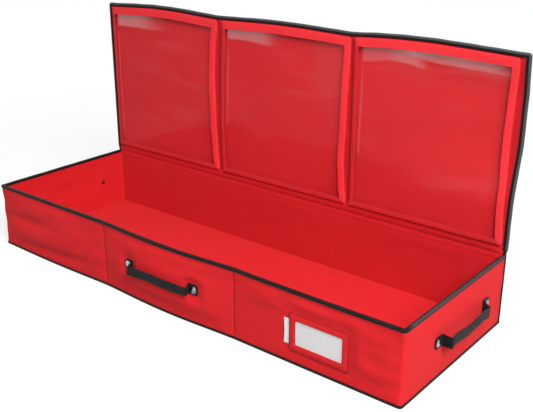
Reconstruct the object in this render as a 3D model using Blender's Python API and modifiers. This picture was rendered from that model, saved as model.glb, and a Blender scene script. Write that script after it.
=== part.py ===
"""Gift wrap organizer: a long fabric box with a fold-over lid that holds three window pockets.

Metres, +Z up. The origin is the centre of the underside. The front is at -Y, the lid folds
on the top of the back wall at +Y, and the length runs along X. The lid stands upright.
"""
import math

import bmesh
import bpy
from mathutils import Matrix, Vector

# Box
body_length = 1.032
body_depth = 0.354
body_height = 0.140
corner_radius = 0.006
panel_names = ("left", "middle", "right")
panels = len(panel_names)

# Layers of a wall, from the outside in
cover_thickness = 0.001
board_thickness = 0.002
lining_thickness = 0.0008
gap = 0.0003
seam_allowance = 0.003

# The front wall bows out at its foot, most in the middle panel
front_bow = 0.007
front_bow_shares = (0.45, 1.0, 0.0)
bow_sharpness = 1.3
stations_per_panel = 10
wall_rows = 4

# Bound edges
tape_thickness = 0.001
rim_leg = 0.005
base_leg = 0.0055
lid_leg = 0.008
tape_steps = 4

# Lid
lid_overhang = 0.002
lid_reach = 0.358
lid_back_angle = math.radians(110)
lid_crown = 0.004
lid_crown_shares = (1.0, 0.75, 1.0)
lid_corner_radius = 0.008

# Window pockets on the inside of the lid
pocket_border = 0.012
pocket_border_thickness = 0.001
pocket_height = 0.0066
pocket_wall = 0.002
pocket_valley = 0.013
pocket_foot_offset = 0.012
pocket_rim_clearance = 0.0005
pocket_corner_radius = 0.004
window_corner_radius = 0.003
window_thickness = 0.0005

# Handles
strap_width = 0.022
strap_thickness = 0.002
strap_stand_off = 0.026
strap_bend_radius = 0.005
strap_arch = 0.002
strap_sag = 0.002
strap_steps = 12
rivet_span = 0.176
riser_inset = 0.010
tab_length = 0.026
tab_thickness = 0.0018
tab_corner_radius = 0.002
handle_height = 0.071
front_handle_offset = -0.008
end_handle_offset = 0.019

# Rivets
rivet_cap_radius = 0.0075
rivet_cap_height = 0.0022
rivet_rim_height = 0.0006
rivet_post_radius = 0.002
rivet_back_radius = 0.0055
rivet_back_height = 0.0018
rivet_back_floor = 0.0006
rivet_sides = 16

# Label holder on the right front panel
label_width = 0.121
label_height = 0.072
label_end_distance = 0.0975
label_centre_height = 0.063
label_border = 0.012
label_border_thickness = 0.0008
label_seam = 0.009
label_corner_radius = 0.003
label_window_thickness = 0.0004
card_thickness = 0.0005
card_proud = 0.011

# How finely the shapes are made
overrun = 0.010
hole_sides = 16
arc_steps = 4
smooth_angle = math.radians(40)
merge_distance = 0.00001

# Sizes worked out from the ones above
half_length = body_length / 2
half_depth = body_depth / 2
lid_length = body_length + 2 * lid_overhang
half_lid = lid_length / 2
board_inset = cover_thickness + gap
lining_inset = board_inset + board_thickness + gap
wall_thickness = lining_inset + lining_thickness
tape_reach = gap + tape_thickness
bound_half = wall_thickness / 2 + tape_reach
wall_foot = tape_reach
wall_top = body_height - tape_reach
panel_width = body_length / panels
axis_y = half_depth - wall_thickness / 2
axis_z = body_height + gap + bound_half
fold_ratio = math.tan(lid_back_angle / 2)
panel_setback = fold_ratio * wall_thickness / 2 + gap
tape_setback = fold_ratio * bound_half + gap
fold_radius = panel_setback - gap
back_top = axis_z - panel_setback
lid_foot = axis_z + panel_setback
lid_edge = axis_z + lid_reach - tape_reach
lid_straight = half_lid - lid_corner_radius
label_centre = half_length - label_end_distance - label_width / 2
strap_radius = strap_width / 2
tab_face = gap + tab_thickness

UP = Vector((0, 0, 1))
DOWN = Vector((0, 0, -1))
BACK = Vector((0, 1, 0))
FRONT = Vector((0, -1, 0))
RIGHT = Vector((1, 0, 0))
LEFT = Vector((-1, 0, 0))


# Scene and materials

def clear_scene():
    for item in list(bpy.data.objects):
        bpy.data.objects.remove(item, do_unlink=True)


def new_collection(name):
    group = bpy.data.collections.new(name)
    bpy.context.scene.collection.children.link(group)
    return group


def finish(name, colour, roughness, metallic=0.0, alpha=1.0):
    made = bpy.data.materials.new(name)
    made.use_nodes = True
    shader = made.node_tree.nodes["Principled BSDF"]
    shader.inputs["Base Color"].default_value = (*colour, 1.0)
    shader.inputs["Roughness"].default_value = roughness
    shader.inputs["Metallic"].default_value = metallic
    shader.inputs["Alpha"].default_value = alpha
    made.diffuse_color = (*colour, alpha)
    return made


# Building blocks

def add_object(name, shape, look, group, smooth=False):
    bmesh.ops.recalc_face_normals(shape, faces=shape.faces)
    mesh = bpy.data.meshes.new(name)
    shape.to_mesh(mesh)
    shape.free()
    if smooth:
        mesh.shade_smooth()
        mesh.set_sharp_from_angle(angle=smooth_angle)
    made = bpy.data.objects.new(name, mesh)
    group.objects.link(made)
    if look is not None:
        mesh.materials.append(look)
    return made


def loft(name, rings, look, group, closed=False):
    """A skin over rings of matching points, capped at both ends unless it closes on itself."""
    shape = bmesh.new()
    rows = [[shape.verts.new(point) for point in ring] for ring in rings]
    pairs = list(zip(rows, rows[1:]))
    if closed:
        pairs.append((rows[-1], rows[0]))
    else:
        shape.faces.new(rows[0])
        shape.faces.new(reversed(rows[-1]))
    for first, second in pairs:
        for here in range(len(first)):
            there = (here + 1) % len(first)
            shape.faces.new((first[here], second[here], second[there], first[there]))
    return add_object(name, shape, look, group, smooth=True)


def plate(name, outline, thickness, look, group):
    """A flat sheet: a closed outline, thickened along the given vector."""
    shape = bmesh.new()
    face = shape.faces.new([shape.verts.new(point) for point in outline])
    grown = bmesh.ops.extrude_face_region(shape, geom=[face])
    moved = [item for item in grown["geom"] if isinstance(item, bmesh.types.BMVert)]
    bmesh.ops.translate(shape, vec=thickness, verts=moved)
    return add_object(name, shape, look, group)


def box(name, low, high, look, group):
    shape = bmesh.new()
    size = Vector(high) - Vector(low)
    centre = (Vector(high) + Vector(low)) / 2
    place = Matrix.Translation(centre) @ Matrix.Diagonal((*size, 1.0))
    bmesh.ops.create_cube(shape, size=1.0, matrix=place)
    return add_object(name, shape, look, group)


def turned(name, profile, look, group):
    """A round piece: a profile of (radius, height) points, top to bottom, spun about Z."""
    mesh = bpy.data.meshes.new(name)
    points = [(radius, 0, height) for radius, height in profile]
    edges = [(at, at + 1) for at in range(len(points) - 1)]
    mesh.from_pydata(points, edges, [])
    mesh.materials.append(look)
    made = bpy.data.objects.new(name, mesh)
    group.objects.link(made)
    spin = made.modifiers.new("spin", "SCREW")
    spin.steps = rivet_sides
    spin.render_steps = rivet_sides
    spin.use_merge_vertices = True
    spin.merge_threshold = merge_distance
    spin.use_smooth_shade = True
    return made


def cut(piece, tool):
    change = piece.modifiers.new(tool.name, "BOOLEAN")
    change.operation = "DIFFERENCE"
    change.solver = "EXACT"
    change.object = tool


def cutter(made):
    made.display_type = "WIRE"
    made.hide_render = True
    return made


def pivot(name, place, group):
    made = bpy.data.objects.new(name, None)
    made.empty_display_size = strap_width
    made.location = place
    group.objects.link(made)
    return made


def hang_on(piece, parent):
    """Parent a piece and leave it where it is."""
    piece.parent = parent
    piece.matrix_parent_inverse = Matrix.Translation(parent.location).inverted()


# Outlines

def bump(along):
    """0 at both ends of a panel, 1 in its middle."""
    return max(math.sin(math.pi * along), 0.0) ** bow_sharpness


def panel_swell(x, shares):
    """Where x lies on its panel, as a share of the largest swell."""
    place = (x + half_length) / panel_width
    index = min(max(int(place), 0), panels - 1)
    return shares[index] * bump(min(max(place - index, 0.0), 1.0))


def bow(x, z):
    """How far the front wall stands out of its plane: all at its foot, nothing at the rim."""
    fade = min(max((wall_top - z) / (wall_top - wall_foot), 0.0), 1.0)
    return front_bow * panel_swell(x, front_bow_shares) * fade


def level(x, z):
    """The end walls stay flat."""
    return 0.0


def crown(x):
    """How far the lid's free edge swells between its seams."""
    return lid_crown * panel_swell(x * half_length / lid_straight, lid_crown_shares)


def panel_stations():
    """X of the stations along all the panels, a seam at every panel's end."""
    count = panels * stations_per_panel
    return [-half_length + body_length * at / count for at in range(count + 1)]


def corner_arc(centre, radius, start, end, steps=arc_steps):
    """Points and outward normals round a corner, from one angle to the other."""
    found = []
    for at in range(steps + 1):
        angle = start + (end - start) * at / steps
        normal = Vector((math.cos(angle), math.sin(angle), 0))
        found.append((centre + normal * radius, normal))
    return found


def side_path(back_y):
    """The outer face of the left, front and right walls seen from above, as (point, normal)."""
    inner_x = half_length - corner_radius
    inner_y = -half_depth + corner_radius
    path = [(Vector((-half_length, back_y, 0)), LEFT)]
    path += corner_arc(Vector((-inner_x, inner_y, 0)), corner_radius, math.pi, 1.5 * math.pi)
    for x in panel_stations()[1:-1]:
        path.append((Vector((x, -half_depth, 0)), FRONT))
    path += corner_arc(Vector((inner_x, inner_y, 0)), corner_radius, 1.5 * math.pi, 2 * math.pi)
    path.append((Vector((half_length, back_y, 0)), RIGHT))
    return path


def closed_path():
    """The outer face of all four walls, with square back corners."""
    return side_path(half_depth)[1:-1] + [
        (Vector((half_length, half_depth, 0)), RIGHT + BACK),
        (Vector((-half_length, half_depth, 0)), LEFT + BACK),
    ]


def wall_point(point, normal, inset, z):
    """A point on a wall, at a depth below its outer face, bowed with the front."""
    place = point - normal * inset
    if normal.y < 0:
        place = place - BACK * bow(point.x, z)
    return Vector((place.x, place.y, z))


def wall_heights(low, high):
    return [low + (high - low) * at / wall_rows for at in range(wall_rows + 1)]


def wall_strip(name, path, inset, thickness, low, high, look, group):
    """One layer of a wall, folded along its path."""
    heights = wall_heights(low, high)
    rings = []
    for point, normal in path:
        outside = [wall_point(point, normal, inset, z) for z in heights]
        inside = [wall_point(point, normal, inset + thickness, z) for z in reversed(heights)]
        rings.append(outside + inside)
    return loft(name, rings, look, group)


def floor_outline(inset, left, right, z):
    """A level outline inside the walls, between two X places, its front edge bowed."""
    inside = [x for x in panel_stations() if left < x < right]
    front = [Vector((x, -half_depth + inset - bow(x, z), z)) for x in [left, *inside, right]]
    return front + [
        Vector((right, half_depth - inset, z)),
        Vector((left, half_depth - inset, z)),
    ]


def rounded_outline(left, right, low, high, y, radius):
    """An upright rectangle in the XZ plane with round corners."""
    corners = [
        (Vector((right - radius, 0, high - radius)), 0.0),
        (Vector((left + radius, 0, high - radius)), 0.5),
        (Vector((left + radius, 0, low + radius)), 1.0),
        (Vector((right - radius, 0, low + radius)), 1.5),
    ]
    points = []
    for centre, start in corners:
        for at in range(arc_steps + 1):
            angle = math.pi * (start + 0.5 * at / arc_steps)
            turn = Vector((math.cos(angle), 0, math.sin(angle)))
            points.append(centre + turn * radius + BACK * y)
    return points


def hook_profile(half, leg):
    """Tape folded over an edge, as (outwards from the edge, across the edge) points."""
    outer_half = half + tape_thickness
    outer = []
    for at in range(tape_steps * 2 + 1):
        angle = math.pi / 2 - math.pi * at / (tape_steps * 2)
        across = outer_half * math.sin(angle)
        outwards = tape_reach - tape_thickness + tape_thickness * math.cos(angle)
        outer.append((outwards, across))
    foot = tape_reach - leg
    inner = [(foot, -half), (gap, -half), (gap, half), (foot, half)]
    return [(foot, outer_half)] + outer + [(foot, -outer_half)] + inner


def corner_profile(leg):
    """Tape folded round a square corner, as (out of one face, out of the other) points."""
    outer = []
    for at in range(tape_steps + 1):
        angle = math.pi / 2 * at / tape_steps
        outer.append((gap + tape_thickness * math.cos(angle), gap + tape_thickness * math.sin(angle)))
    foot = tape_reach - leg
    inner = [(foot, tape_reach), (foot, gap), (gap, gap), (gap, foot), (tape_reach, foot)]
    return outer + inner


def bind(name, stations, profile, look, group, closed=False):
    """Sweep tape along an edge: each station is (place, first direction, second direction)."""
    rings = []
    for place, first, second in stations:
        rings.append([place + first * a + second * b for a, b in profile])
    return loft(name, rings, look, group, closed)


# The box

def wall_boards(cardboard, group):
    """Stiff boards in the walls: one to each front and back panel and one in each end."""
    made = {}
    inside = half_length - board_inset
    for index, name in enumerate(panel_names):
        left = -half_length + index * panel_width + seam_allowance
        right = left + panel_width - 2 * seam_allowance
        front_left = max(left, -half_length + corner_radius)
        front_right = min(right, half_length - corner_radius)
        stations = [x for x in panel_stations() if front_left < x < front_right]
        path = [(Vector((x, -half_depth, 0)), FRONT) for x in [front_left, *stations, front_right]]
        made["front_" + name] = wall_strip(
            "front_board_" + name, path, board_inset, board_thickness, wall_foot, wall_top,
            cardboard, group)
        back_left = max(left, -inside)
        back_right = min(right, inside)
        outer_y = half_depth - board_inset
        made["back_" + name] = box(
            "back_board_" + name, (back_left, outer_y - board_thickness, wall_foot),
            (back_right, outer_y, back_top), cardboard, group)
    for name, side in (("left", -1), ("right", 1)):
        outer = side * inside
        inner = side * (inside - board_thickness)
        made["end_" + name] = box(
            name + "_end_board", (min(outer, inner), -half_depth + corner_radius, wall_foot),
            (max(outer, inner), half_depth - lining_inset, wall_top), cardboard, group)
    return made


def floor_pieces(red, cardboard, group):
    """The bottom cover, which rests on the ground, and the boards that lie on it."""
    inset = base_leg - tape_reach + gap
    sheet = [wall_point(point, normal, inset, 0.0) for point, normal in closed_path()]
    plate("bottom_cover", sheet, UP * cover_thickness, red, group)
    for index, name in enumerate(panel_names):
        left = max(-half_length + index * panel_width + seam_allowance, -half_length + lining_inset)
        right = min(-half_length + (index + 1) * panel_width - seam_allowance, half_length - lining_inset)
        outline = floor_outline(lining_inset, left, right, board_inset)
        plate("bottom_board_" + name, outline, UP * board_thickness, cardboard, group)


def lining_tub(cloth, group):
    """The inner lining: a tub sewn from one sheet, open at the top."""
    shape = bmesh.new()
    rows = []
    for z in wall_heights(lining_inset, wall_top):
        loop = [wall_point(point, normal, lining_inset, z) for point, normal in closed_path()]
        rows.append([shape.verts.new(point) for point in loop])
    shape.faces.new(reversed(rows[0]))
    for lower, upper in zip(rows, rows[1:]):
        for here in range(len(lower)):
            there = (here + 1) % len(lower)
            shape.faces.new((lower[here], lower[there], upper[there], upper[here]))
    made = add_object("inner_lining", shape, cloth, group)
    wall = made.modifiers.new("wall", "SOLIDIFY")
    wall.thickness = lining_thickness
    wall.offset = -1.0
    wall.use_even_offset = True
    return made


def rim_tape(black, group):
    """Tape over the top edge of the left, front and right walls."""
    path = side_path(half_depth - wall_thickness - gap)
    stations = []
    for point, normal in path:
        place = wall_point(point, normal, wall_thickness / 2, wall_top)
        stations.append((place, UP, normal))
    return bind("rim_binding", stations, hook_profile(wall_thickness / 2 + gap, rim_leg), black, group)


def base_tape(black, group):
    """Tape round the foot of all four walls."""
    stations = []
    for point, normal in closed_path():
        stations.append((wall_point(point, normal, 0.0, wall_foot), normal, DOWN))
    return bind("base_binding", stations, corner_profile(base_leg), black, group, closed=True)


def back_corner_tapes(black, group):
    """Tape down the two upright back corners, from the lid's fold to the base tape."""
    low = base_leg + gap
    high = axis_z - tape_setback
    for name, side in (("left", LEFT), ("right", RIGHT)):
        corner = side * half_length + BACK * half_depth
        stations = [(corner + UP * z, side, BACK) for z in (low, high)]
        bind("back_corner_binding_" + name, stations, corner_profile(base_leg), black, group)


# Handles

def rivet_cutter(name, place, group):
    """A pin that bores the rivet's hole through every layer of a wall."""
    shape = bmesh.new()
    length = 2 * (wall_thickness + overrun)
    bmesh.ops.create_cone(shape, cap_ends=True, segments=hole_sides, radius1=rivet_post_radius + gap,
                          radius2=rivet_post_radius + gap, depth=length,
                          matrix=place @ Matrix.Rotation(math.pi / 2, 4, "X"))
    return cutter(add_object(name, shape, None, group))


def handle_tab(name, place, webbing, group, cutters):
    """The webbing's flat end, against the wall, with the rivet's hole."""
    half = tab_length / 2
    outline = rounded_outline(-half, half, -strap_radius, strap_radius, -gap, tab_corner_radius)
    made = plate(name, outline, FRONT * tab_thickness, webbing, group)
    made.matrix_world = place
    cut(made, rivet_cutter(name + "_hole", place, cutters))
    return made


def rivet(name, place, metal, group):
    """A domed cap with its post, through the tab and the wall."""
    face = tab_face + gap
    bore_floor = wall_thickness + gap + rivet_back_height - rivet_back_floor
    tip = bore_floor - gap
    dome_shares = ((0.0, 1.0), (0.5, 0.9), (0.85, 0.55))
    crest = rivet_cap_height - rivet_rim_height
    profile = [(rivet_cap_radius * r, face + rivet_rim_height + crest * h) for r, h in dome_shares]
    profile += [
        (rivet_cap_radius, face + rivet_rim_height),
        (rivet_cap_radius, face),
        (rivet_post_radius, face),
        (rivet_post_radius, -tip),
        (0.0, -tip),
    ]
    made = turned(name, profile, metal, group)
    made.matrix_world = place @ Matrix.Rotation(math.pi / 2, 4, "X")
    return made


def rivet_back(name, place, metal, group):
    """The rivet's back cap on the lining, bored to take the post."""
    face = -wall_thickness - gap
    rear = face - rivet_back_height
    bore = rivet_post_radius + gap
    profile = [
        (0.0, rear + rivet_back_floor),
        (bore, rear + rivet_back_floor),
        (bore, face),
        (rivet_back_radius, face),
        (rivet_back_radius, rear + rivet_back_floor),
        (rivet_back_radius - rivet_back_floor, rear),
        (0.0, rear),
    ]
    made = turned(name, profile, metal, group)
    made.matrix_world = place @ Matrix.Rotation(math.pi / 2, 4, "X")
    return made


def strap_rings():
    """Rings along the webbing loop: X along the wall, -Y out of it, the swing axis at Y = 0.

    The ends are rounded about the swing axis, so the loop swings clear of the wall.
    """
    riser = rivet_span / 2 - riser_inset
    run_out = strap_stand_off - tab_face - gap - strap_radius - strap_thickness / 2
    left = []
    for at in range(1, arc_steps + 2):
        angle = -math.pi / 2 * (1 - at / (arc_steps + 1))
        along = strap_radius * math.sin(angle)
        left.append((Vector((-riser, -along, 0)), strap_radius * math.cos(angle)))
    bend = Vector((-riser + strap_bend_radius, -run_out + strap_bend_radius, 0))
    for at in range(arc_steps + 1):
        angle = math.pi * (1 + 0.5 * at / arc_steps)
        turn = Vector((math.cos(angle), math.sin(angle), 0))
        left.append((bend + turn * strap_bend_radius, strap_radius))
    run = []
    for at in range(1, strap_steps):
        share = at / strap_steps
        lift = math.sin(math.pi * share)
        x = (2 * share - 1) * (riser - strap_bend_radius)
        run.append((Vector((x, -run_out - strap_arch * lift, -strap_sag * lift)), strap_radius))
    right = [(Vector((-point.x, point.y, point.z)), width) for point, width in reversed(left)]
    line = left + run + right
    rings = []
    for index, (point, width) in enumerate(line):
        before = line[max(index - 1, 0)][0]
        after = line[min(index + 1, len(line) - 1)][0]
        tangent = (after - before).normalized()
        across = Vector((-tangent.y, tangent.x, 0)).normalized() * strap_thickness / 2
        lift = UP * width
        rings.append([point + across + lift, point + across - lift,
                      point - across - lift, point - across + lift])
    return rings


def handle(name, wall, centre, swell, layers, looks, groups):
    """Two riveted tabs and the webbing loop between them.

    The wall is a matrix that puts X along the wall, -Y out of it and Z up, at floor level.
    Swell says how far the wall bows out, and layers are the wall's pieces that the rivets pierce.
    """
    webbing, metal = looks
    parts, cutters = groups
    lift = 0.0
    for side, sign in (("left", -1), ("right", 1)):
        along = centre + sign * rivet_span / 2
        near, far = along - tab_length / 2, along + tab_length / 2
        below, above = handle_height - strap_radius, handle_height + strap_radius
        slope = (swell(far, handle_height) - swell(near, handle_height)) / tab_length
        lean = (swell(along, below) - swell(along, above)) / strap_width
        turn = Matrix.Rotation(-math.atan(slope), 4, "Z") @ Matrix.Rotation(-math.atan(lean), 4, "X")
        rest = Matrix.Translation((along, -swell(along, handle_height), handle_height))
        place = wall @ rest @ turn
        handle_tab(name + "_tab_" + side, place, webbing, parts, cutters)
        rivet(name + "_rivet_" + side, place, metal, parts)
        rivet_back(name + "_rivet_back_" + side, place, metal, parts)
        for piece in layers:
            cut(piece, bpy.data.objects[name + "_tab_" + side + "_hole"])
        riser = centre + sign * (rivet_span / 2 - riser_inset)
        lift = max(lift, swell(riser, handle_height))
    axis_out = lift + tab_face + gap + strap_radius
    swing = pivot(name + "_swing", wall @ Vector((centre, -axis_out, handle_height)), parts)
    loop = loft(name + "_strap", strap_rings(), webbing, parts)
    loop.matrix_world = Matrix.Translation(swing.location) @ wall.to_3x3().to_4x4()
    hang_on(loop, swing)


# Label holder

def label_holder(red, clear, card_stock, parts, cutters):
    """A framed window sewn on along three sides, with a card that slides out to the left."""
    left = label_centre - label_width / 2
    right = label_centre + label_width / 2
    low = label_centre_height - label_height / 2
    high = label_centre_height + label_height / 2
    back = -half_depth - gap
    pocket_deep = card_thickness + gap + label_window_thickness + gap
    front = back - pocket_deep - label_border_thickness

    outline = rounded_outline(left, right, low, high, back, label_corner_radius)
    frame = plate("label_frame", outline, FRONT * (back - front), red, parts)
    slot_low = Vector((left - overrun, front + label_border_thickness, low + label_seam))
    slot_high = Vector((right - label_seam, back + overrun, high - label_seam))
    cut(frame, cutter(box("label_slot", slot_low, slot_high, None, cutters)))
    hole = rounded_outline(left + label_border, right - label_border, low + label_border,
                           high - label_border, back + overrun, label_corner_radius / 2)
    depth = back - front + 2 * overrun
    cut(frame, cutter(plate("label_opening", hole, FRONT * depth, None, cutters)))

    sheet_front = front + label_border_thickness + gap
    box("label_window", (left + gap, sheet_front, low + label_seam + gap),
        (right - label_seam - gap, sheet_front + label_window_thickness, high - label_seam - gap),
        clear, parts)
    card_front = sheet_front + label_window_thickness + gap
    card = box("label_card", (left - card_proud, card_front, low + label_seam + gap),
               (right - label_seam - gap, card_front + card_thickness, high - label_seam - gap),
               card_stock, parts)
    slide = pivot("label_card_slide", (label_centre, card_front, label_centre_height), parts)
    hang_on(card, slide)


# Lid

def lid_stations():
    """X of the stations along the lid's free edge, between its round corners."""
    return [x * lid_straight / half_length for x in panel_stations()]


def lid_corner_turns():
    """Directions round a quarter turn, from straight up to sideways, as (sideways, up)."""
    angles = [math.pi / 2 * (1 - at / arc_steps) for at in range(arc_steps + 1)]
    return [(math.cos(angle), math.sin(angle)) for angle in angles]


def lid_top(x):
    """Height of the lid's free edge: it swells between seams and turns down at the corners."""
    beyond = min(max(abs(x) - lid_straight, 0.0), lid_corner_radius)
    drop = lid_corner_radius - math.sqrt(lid_corner_radius ** 2 - beyond ** 2)
    return lid_edge + crown(x) - drop


def lid_outline(left, right, y):
    """The lid's upright outline between two X places."""
    turns = [lid_straight + lid_corner_radius * sideways for sideways, _ in lid_corner_turns()]
    reach = [-x for x in reversed(turns)] + lid_stations()[1:-1] + turns
    inside = [x for x in reach if left < x < right]
    top = [Vector((x, y, lid_top(x))) for x in [left, *inside, right]]
    return top + [Vector((right, y, lid_foot)), Vector((left, y, lid_foot))]


def lid_panel(red, cloth, cardboard, group):
    """The lid's outer cover, its boards and its lining, in the plane of the back wall."""
    outer = lid_outline(-half_lid, half_lid, half_depth)
    made = [plate("lid_outer_cover", outer, FRONT * cover_thickness, red, group)]
    width = lid_length / panels
    for index, name in enumerate(panel_names):
        left = -half_lid + index * width + seam_allowance
        right = left + width - 2 * seam_allowance
        outline = lid_outline(left, right, half_depth - board_inset)
        made.append(plate("lid_board_" + name, outline, FRONT * board_thickness, cardboard, group))
    inner = lid_outline(-half_lid, half_lid, half_depth - lining_inset)
    made.append(plate("lid_lining", inner, FRONT * lining_thickness, cloth, group))
    return made


def lid_tape(black, group):
    """Tape over the lid's two sides and its free edge."""
    foot = Vector((half_lid, axis_y, axis_z + tape_setback))
    right_side = []
    for sideways, up in lid_corner_turns():
        turn = Vector((sideways, 0, up))
        centre = Vector((lid_straight, axis_y, lid_edge - lid_corner_radius))
        right_side.append((centre + turn * lid_corner_radius, turn))
    right_side.append((foot, RIGHT))
    flip = Matrix.Scale(-1, 3, RIGHT)
    left_side = [(flip @ place, flip @ turn) for place, turn in reversed(right_side)]
    edge = [(Vector((x, axis_y, lid_top(x))), UP) for x in lid_stations()[1:-1]]
    stations = [(place, turn, BACK) for place, turn in left_side + edge + right_side]
    return bind("lid_binding", stations, hook_profile(wall_thickness / 2 + gap, lid_leg), black, group)


def pocket_bounds():
    """Left and right of the three pockets, each clear of the rim when the lid is closed."""
    side = half_length - wall_thickness / 2 - bound_half - pocket_rim_clearance
    seam = panel_width / 2
    valley = pocket_valley / 2
    return (
        ("left", -side, -seam - valley),
        ("middle", -seam + valley, seam - valley),
        ("right", seam + valley, side),
    )


def window_pocket(name, left, right, red, clear, parts, cutters):
    """A shallow pocket: a raised frame with a clear front, open at the top."""
    low = axis_z + pocket_foot_offset
    front_rim = -half_depth + wall_thickness / 2 + bound_half + pocket_rim_clearance
    high = axis_z + axis_y - front_rim
    back = half_depth - wall_thickness - gap
    front = back - pocket_height

    outline = rounded_outline(left, right, low, high, back, pocket_corner_radius)
    frame = plate("pocket_frame_" + name, outline, FRONT * pocket_height, red, parts)
    hollow_low = Vector((left + pocket_wall, front + pocket_border_thickness, low + pocket_wall))
    hollow_high = Vector((right - pocket_wall, back + overrun, high + overrun))
    cut(frame, cutter(box("pocket_hollow_" + name, hollow_low, hollow_high, None, cutters)))
    hole = rounded_outline(left + pocket_border, right - pocket_border, low + pocket_border,
                           high - pocket_border, back + overrun, window_corner_radius)
    depth = pocket_height + 2 * overrun
    cut(frame, cutter(plate("pocket_opening_" + name, hole, FRONT * depth, None, cutters)))

    sheet_front = front + pocket_border_thickness + gap
    inner = pocket_wall + gap
    window = box("pocket_window_" + name, (left + inner, sheet_front, low + inner),
                 (right - inner, sheet_front + window_thickness, high - pocket_border_thickness),
                 clear, parts)
    return [frame, window]


def hinge_fold(red, group):
    """The doubled cloth that the lid folds on, rolled about the hinge line."""
    shape = bmesh.new()
    place = Matrix.Translation((0, axis_y, axis_z)) @ Matrix.Rotation(math.pi / 2, 4, "Y")
    bmesh.ops.create_cone(shape, cap_ends=True, segments=hole_sides, radius1=fold_radius,
                          radius2=fold_radius, depth=body_length, matrix=place)
    return add_object("lid_hinge_fold", shape, red, group, smooth=True)


def main():
    clear_scene()
    parts = new_collection("gift_wrap_organizer")
    cutters = new_collection("cutters")
    groups = (parts, cutters)

    red = finish("red_cloth", (0.62, 0.025, 0.030), 0.75)
    lining_red = finish("red_lining", (0.45, 0.015, 0.022), 0.80)
    tape_red = finish("red_tape", (0.75, 0.035, 0.045), 0.55)
    black = finish("black_tape", (0.020, 0.021, 0.022), 0.60)
    webbing = finish("black_webbing", (0.030, 0.032, 0.032), 0.70)
    metal = finish("polished_steel", (0.80, 0.80, 0.82), 0.22, metallic=1.0)
    clear = finish("clear_film", (0.90, 0.90, 0.92), 0.08, alpha=0.25)
    cardboard = finish("grey_board", (0.42, 0.38, 0.32), 0.90)
    card_stock = finish("white_card", (0.72, 0.72, 0.72), 0.65)

    side_cover = wall_strip("side_wall_cover", side_path(half_depth - board_inset), 0.0,
                            cover_thickness, wall_foot, wall_top, red, parts)
    box("back_wall_cover", (-half_length, half_depth - cover_thickness, wall_foot),
        (half_length, half_depth, back_top), red, parts)
    boards = wall_boards(cardboard, parts)
    floor_pieces(red, cardboard, parts)
    lining = lining_tub(lining_red, parts)
    rim_tape(black, parts)
    base_tape(black, parts)
    back_corner_tapes(black, parts)

    looks = (webbing, metal)
    front_wall = Matrix.Translation((0, -half_depth, 0))
    right_wall = Matrix.Translation((half_length, 0, 0)) @ Matrix.Rotation(math.pi / 2, 4, "Z")
    left_wall = Matrix.Translation((-half_length, 0, 0)) @ Matrix.Rotation(-math.pi / 2, 4, "Z")
    handle("front_handle", front_wall, front_handle_offset, bow,
           [side_cover, boards["front_middle"], lining], looks, groups)
    handle("right_handle", right_wall, end_handle_offset, level,
           [side_cover, boards["end_right"], lining], looks, groups)
    handle("left_handle", left_wall, -end_handle_offset, level,
           [side_cover, boards["end_left"], lining], looks, groups)
    label_holder(tape_red, clear, card_stock, parts, cutters)

    hinge_fold(red, parts)
    lid = lid_panel(red, lining_red, cardboard, parts)
    lid.append(lid_tape(black, parts))
    for name, left, right in pocket_bounds():
        lid += window_pocket(name, left, right, tape_red, clear, parts, cutters)
    hinge = pivot("lid_hinge", (0, axis_y, axis_z), parts)
    for piece in lid:
        hang_on(piece, hinge)


main()
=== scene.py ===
import math

import bmesh
import bpy
from mathutils import Matrix, Vector, noise


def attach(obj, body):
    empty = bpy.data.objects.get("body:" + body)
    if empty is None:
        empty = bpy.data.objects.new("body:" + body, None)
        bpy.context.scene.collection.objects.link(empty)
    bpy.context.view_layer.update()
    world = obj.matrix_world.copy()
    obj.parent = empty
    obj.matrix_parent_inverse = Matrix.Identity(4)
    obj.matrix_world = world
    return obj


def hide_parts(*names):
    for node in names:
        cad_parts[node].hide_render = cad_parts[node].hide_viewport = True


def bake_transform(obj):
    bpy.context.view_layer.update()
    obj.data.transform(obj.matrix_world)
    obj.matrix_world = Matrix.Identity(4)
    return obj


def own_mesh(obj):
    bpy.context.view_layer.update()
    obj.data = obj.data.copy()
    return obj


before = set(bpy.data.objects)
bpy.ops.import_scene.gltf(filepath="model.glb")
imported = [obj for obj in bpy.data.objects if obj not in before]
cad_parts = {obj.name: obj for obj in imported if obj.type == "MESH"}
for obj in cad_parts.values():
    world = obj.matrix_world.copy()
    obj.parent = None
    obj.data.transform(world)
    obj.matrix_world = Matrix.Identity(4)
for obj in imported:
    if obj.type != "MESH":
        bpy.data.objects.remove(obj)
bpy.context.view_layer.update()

print("frame loaded")

# the real object's sizes, in metres, as the CAD has them; bows and sags of the front are by panel
walls = {
    "halfLength": 0.516, "halfDepth": 0.177, "height": 0.14, "foot": 0.0013, "top": 0.1387,
    "cornerRadius": 0.006, "panel": 0.344, "clothThickness": 0.001, "boardInset": 0.0013,
    "boardThickness": 0.002, "liningInset": 0.0036, "liningThickness": 0.0008,
    "footBows": (0.00315, 0.007, 0.0), "rimBows": (0.0, 0.005, 0.0), "bowSharpness": 1.3,
    "rimSags": (0.0, 0.0022, 0.0012), "rows": 0.0042,
}
halfX, halfY = walls["halfLength"], walls["halfDepth"]
seams = (-0.172, 0.172)  # where one panel is sewn to the next
up = Vector((0, 0, 1))
front = Vector((0, -1, 0))
back = Vector((0, 1, 0))
right = Vector((1, 0, 0))


# small sums

def clamp(value):
    return min(max(value, 0.0), 1.0)


def ease(low, high, value):
    share = clamp((value - low) / (high - low))
    return share * share * (3 - 2 * share)


def within(value, low, lowEnd, highStart, high):
    # 1 in the middle, eased to 0 at both ends
    return ease(low, lowEnd, value) * (1 - ease(highStart, high, value))


def bell(value, centre, width):
    return math.exp(-((value - centre) / width) ** 2)


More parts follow.
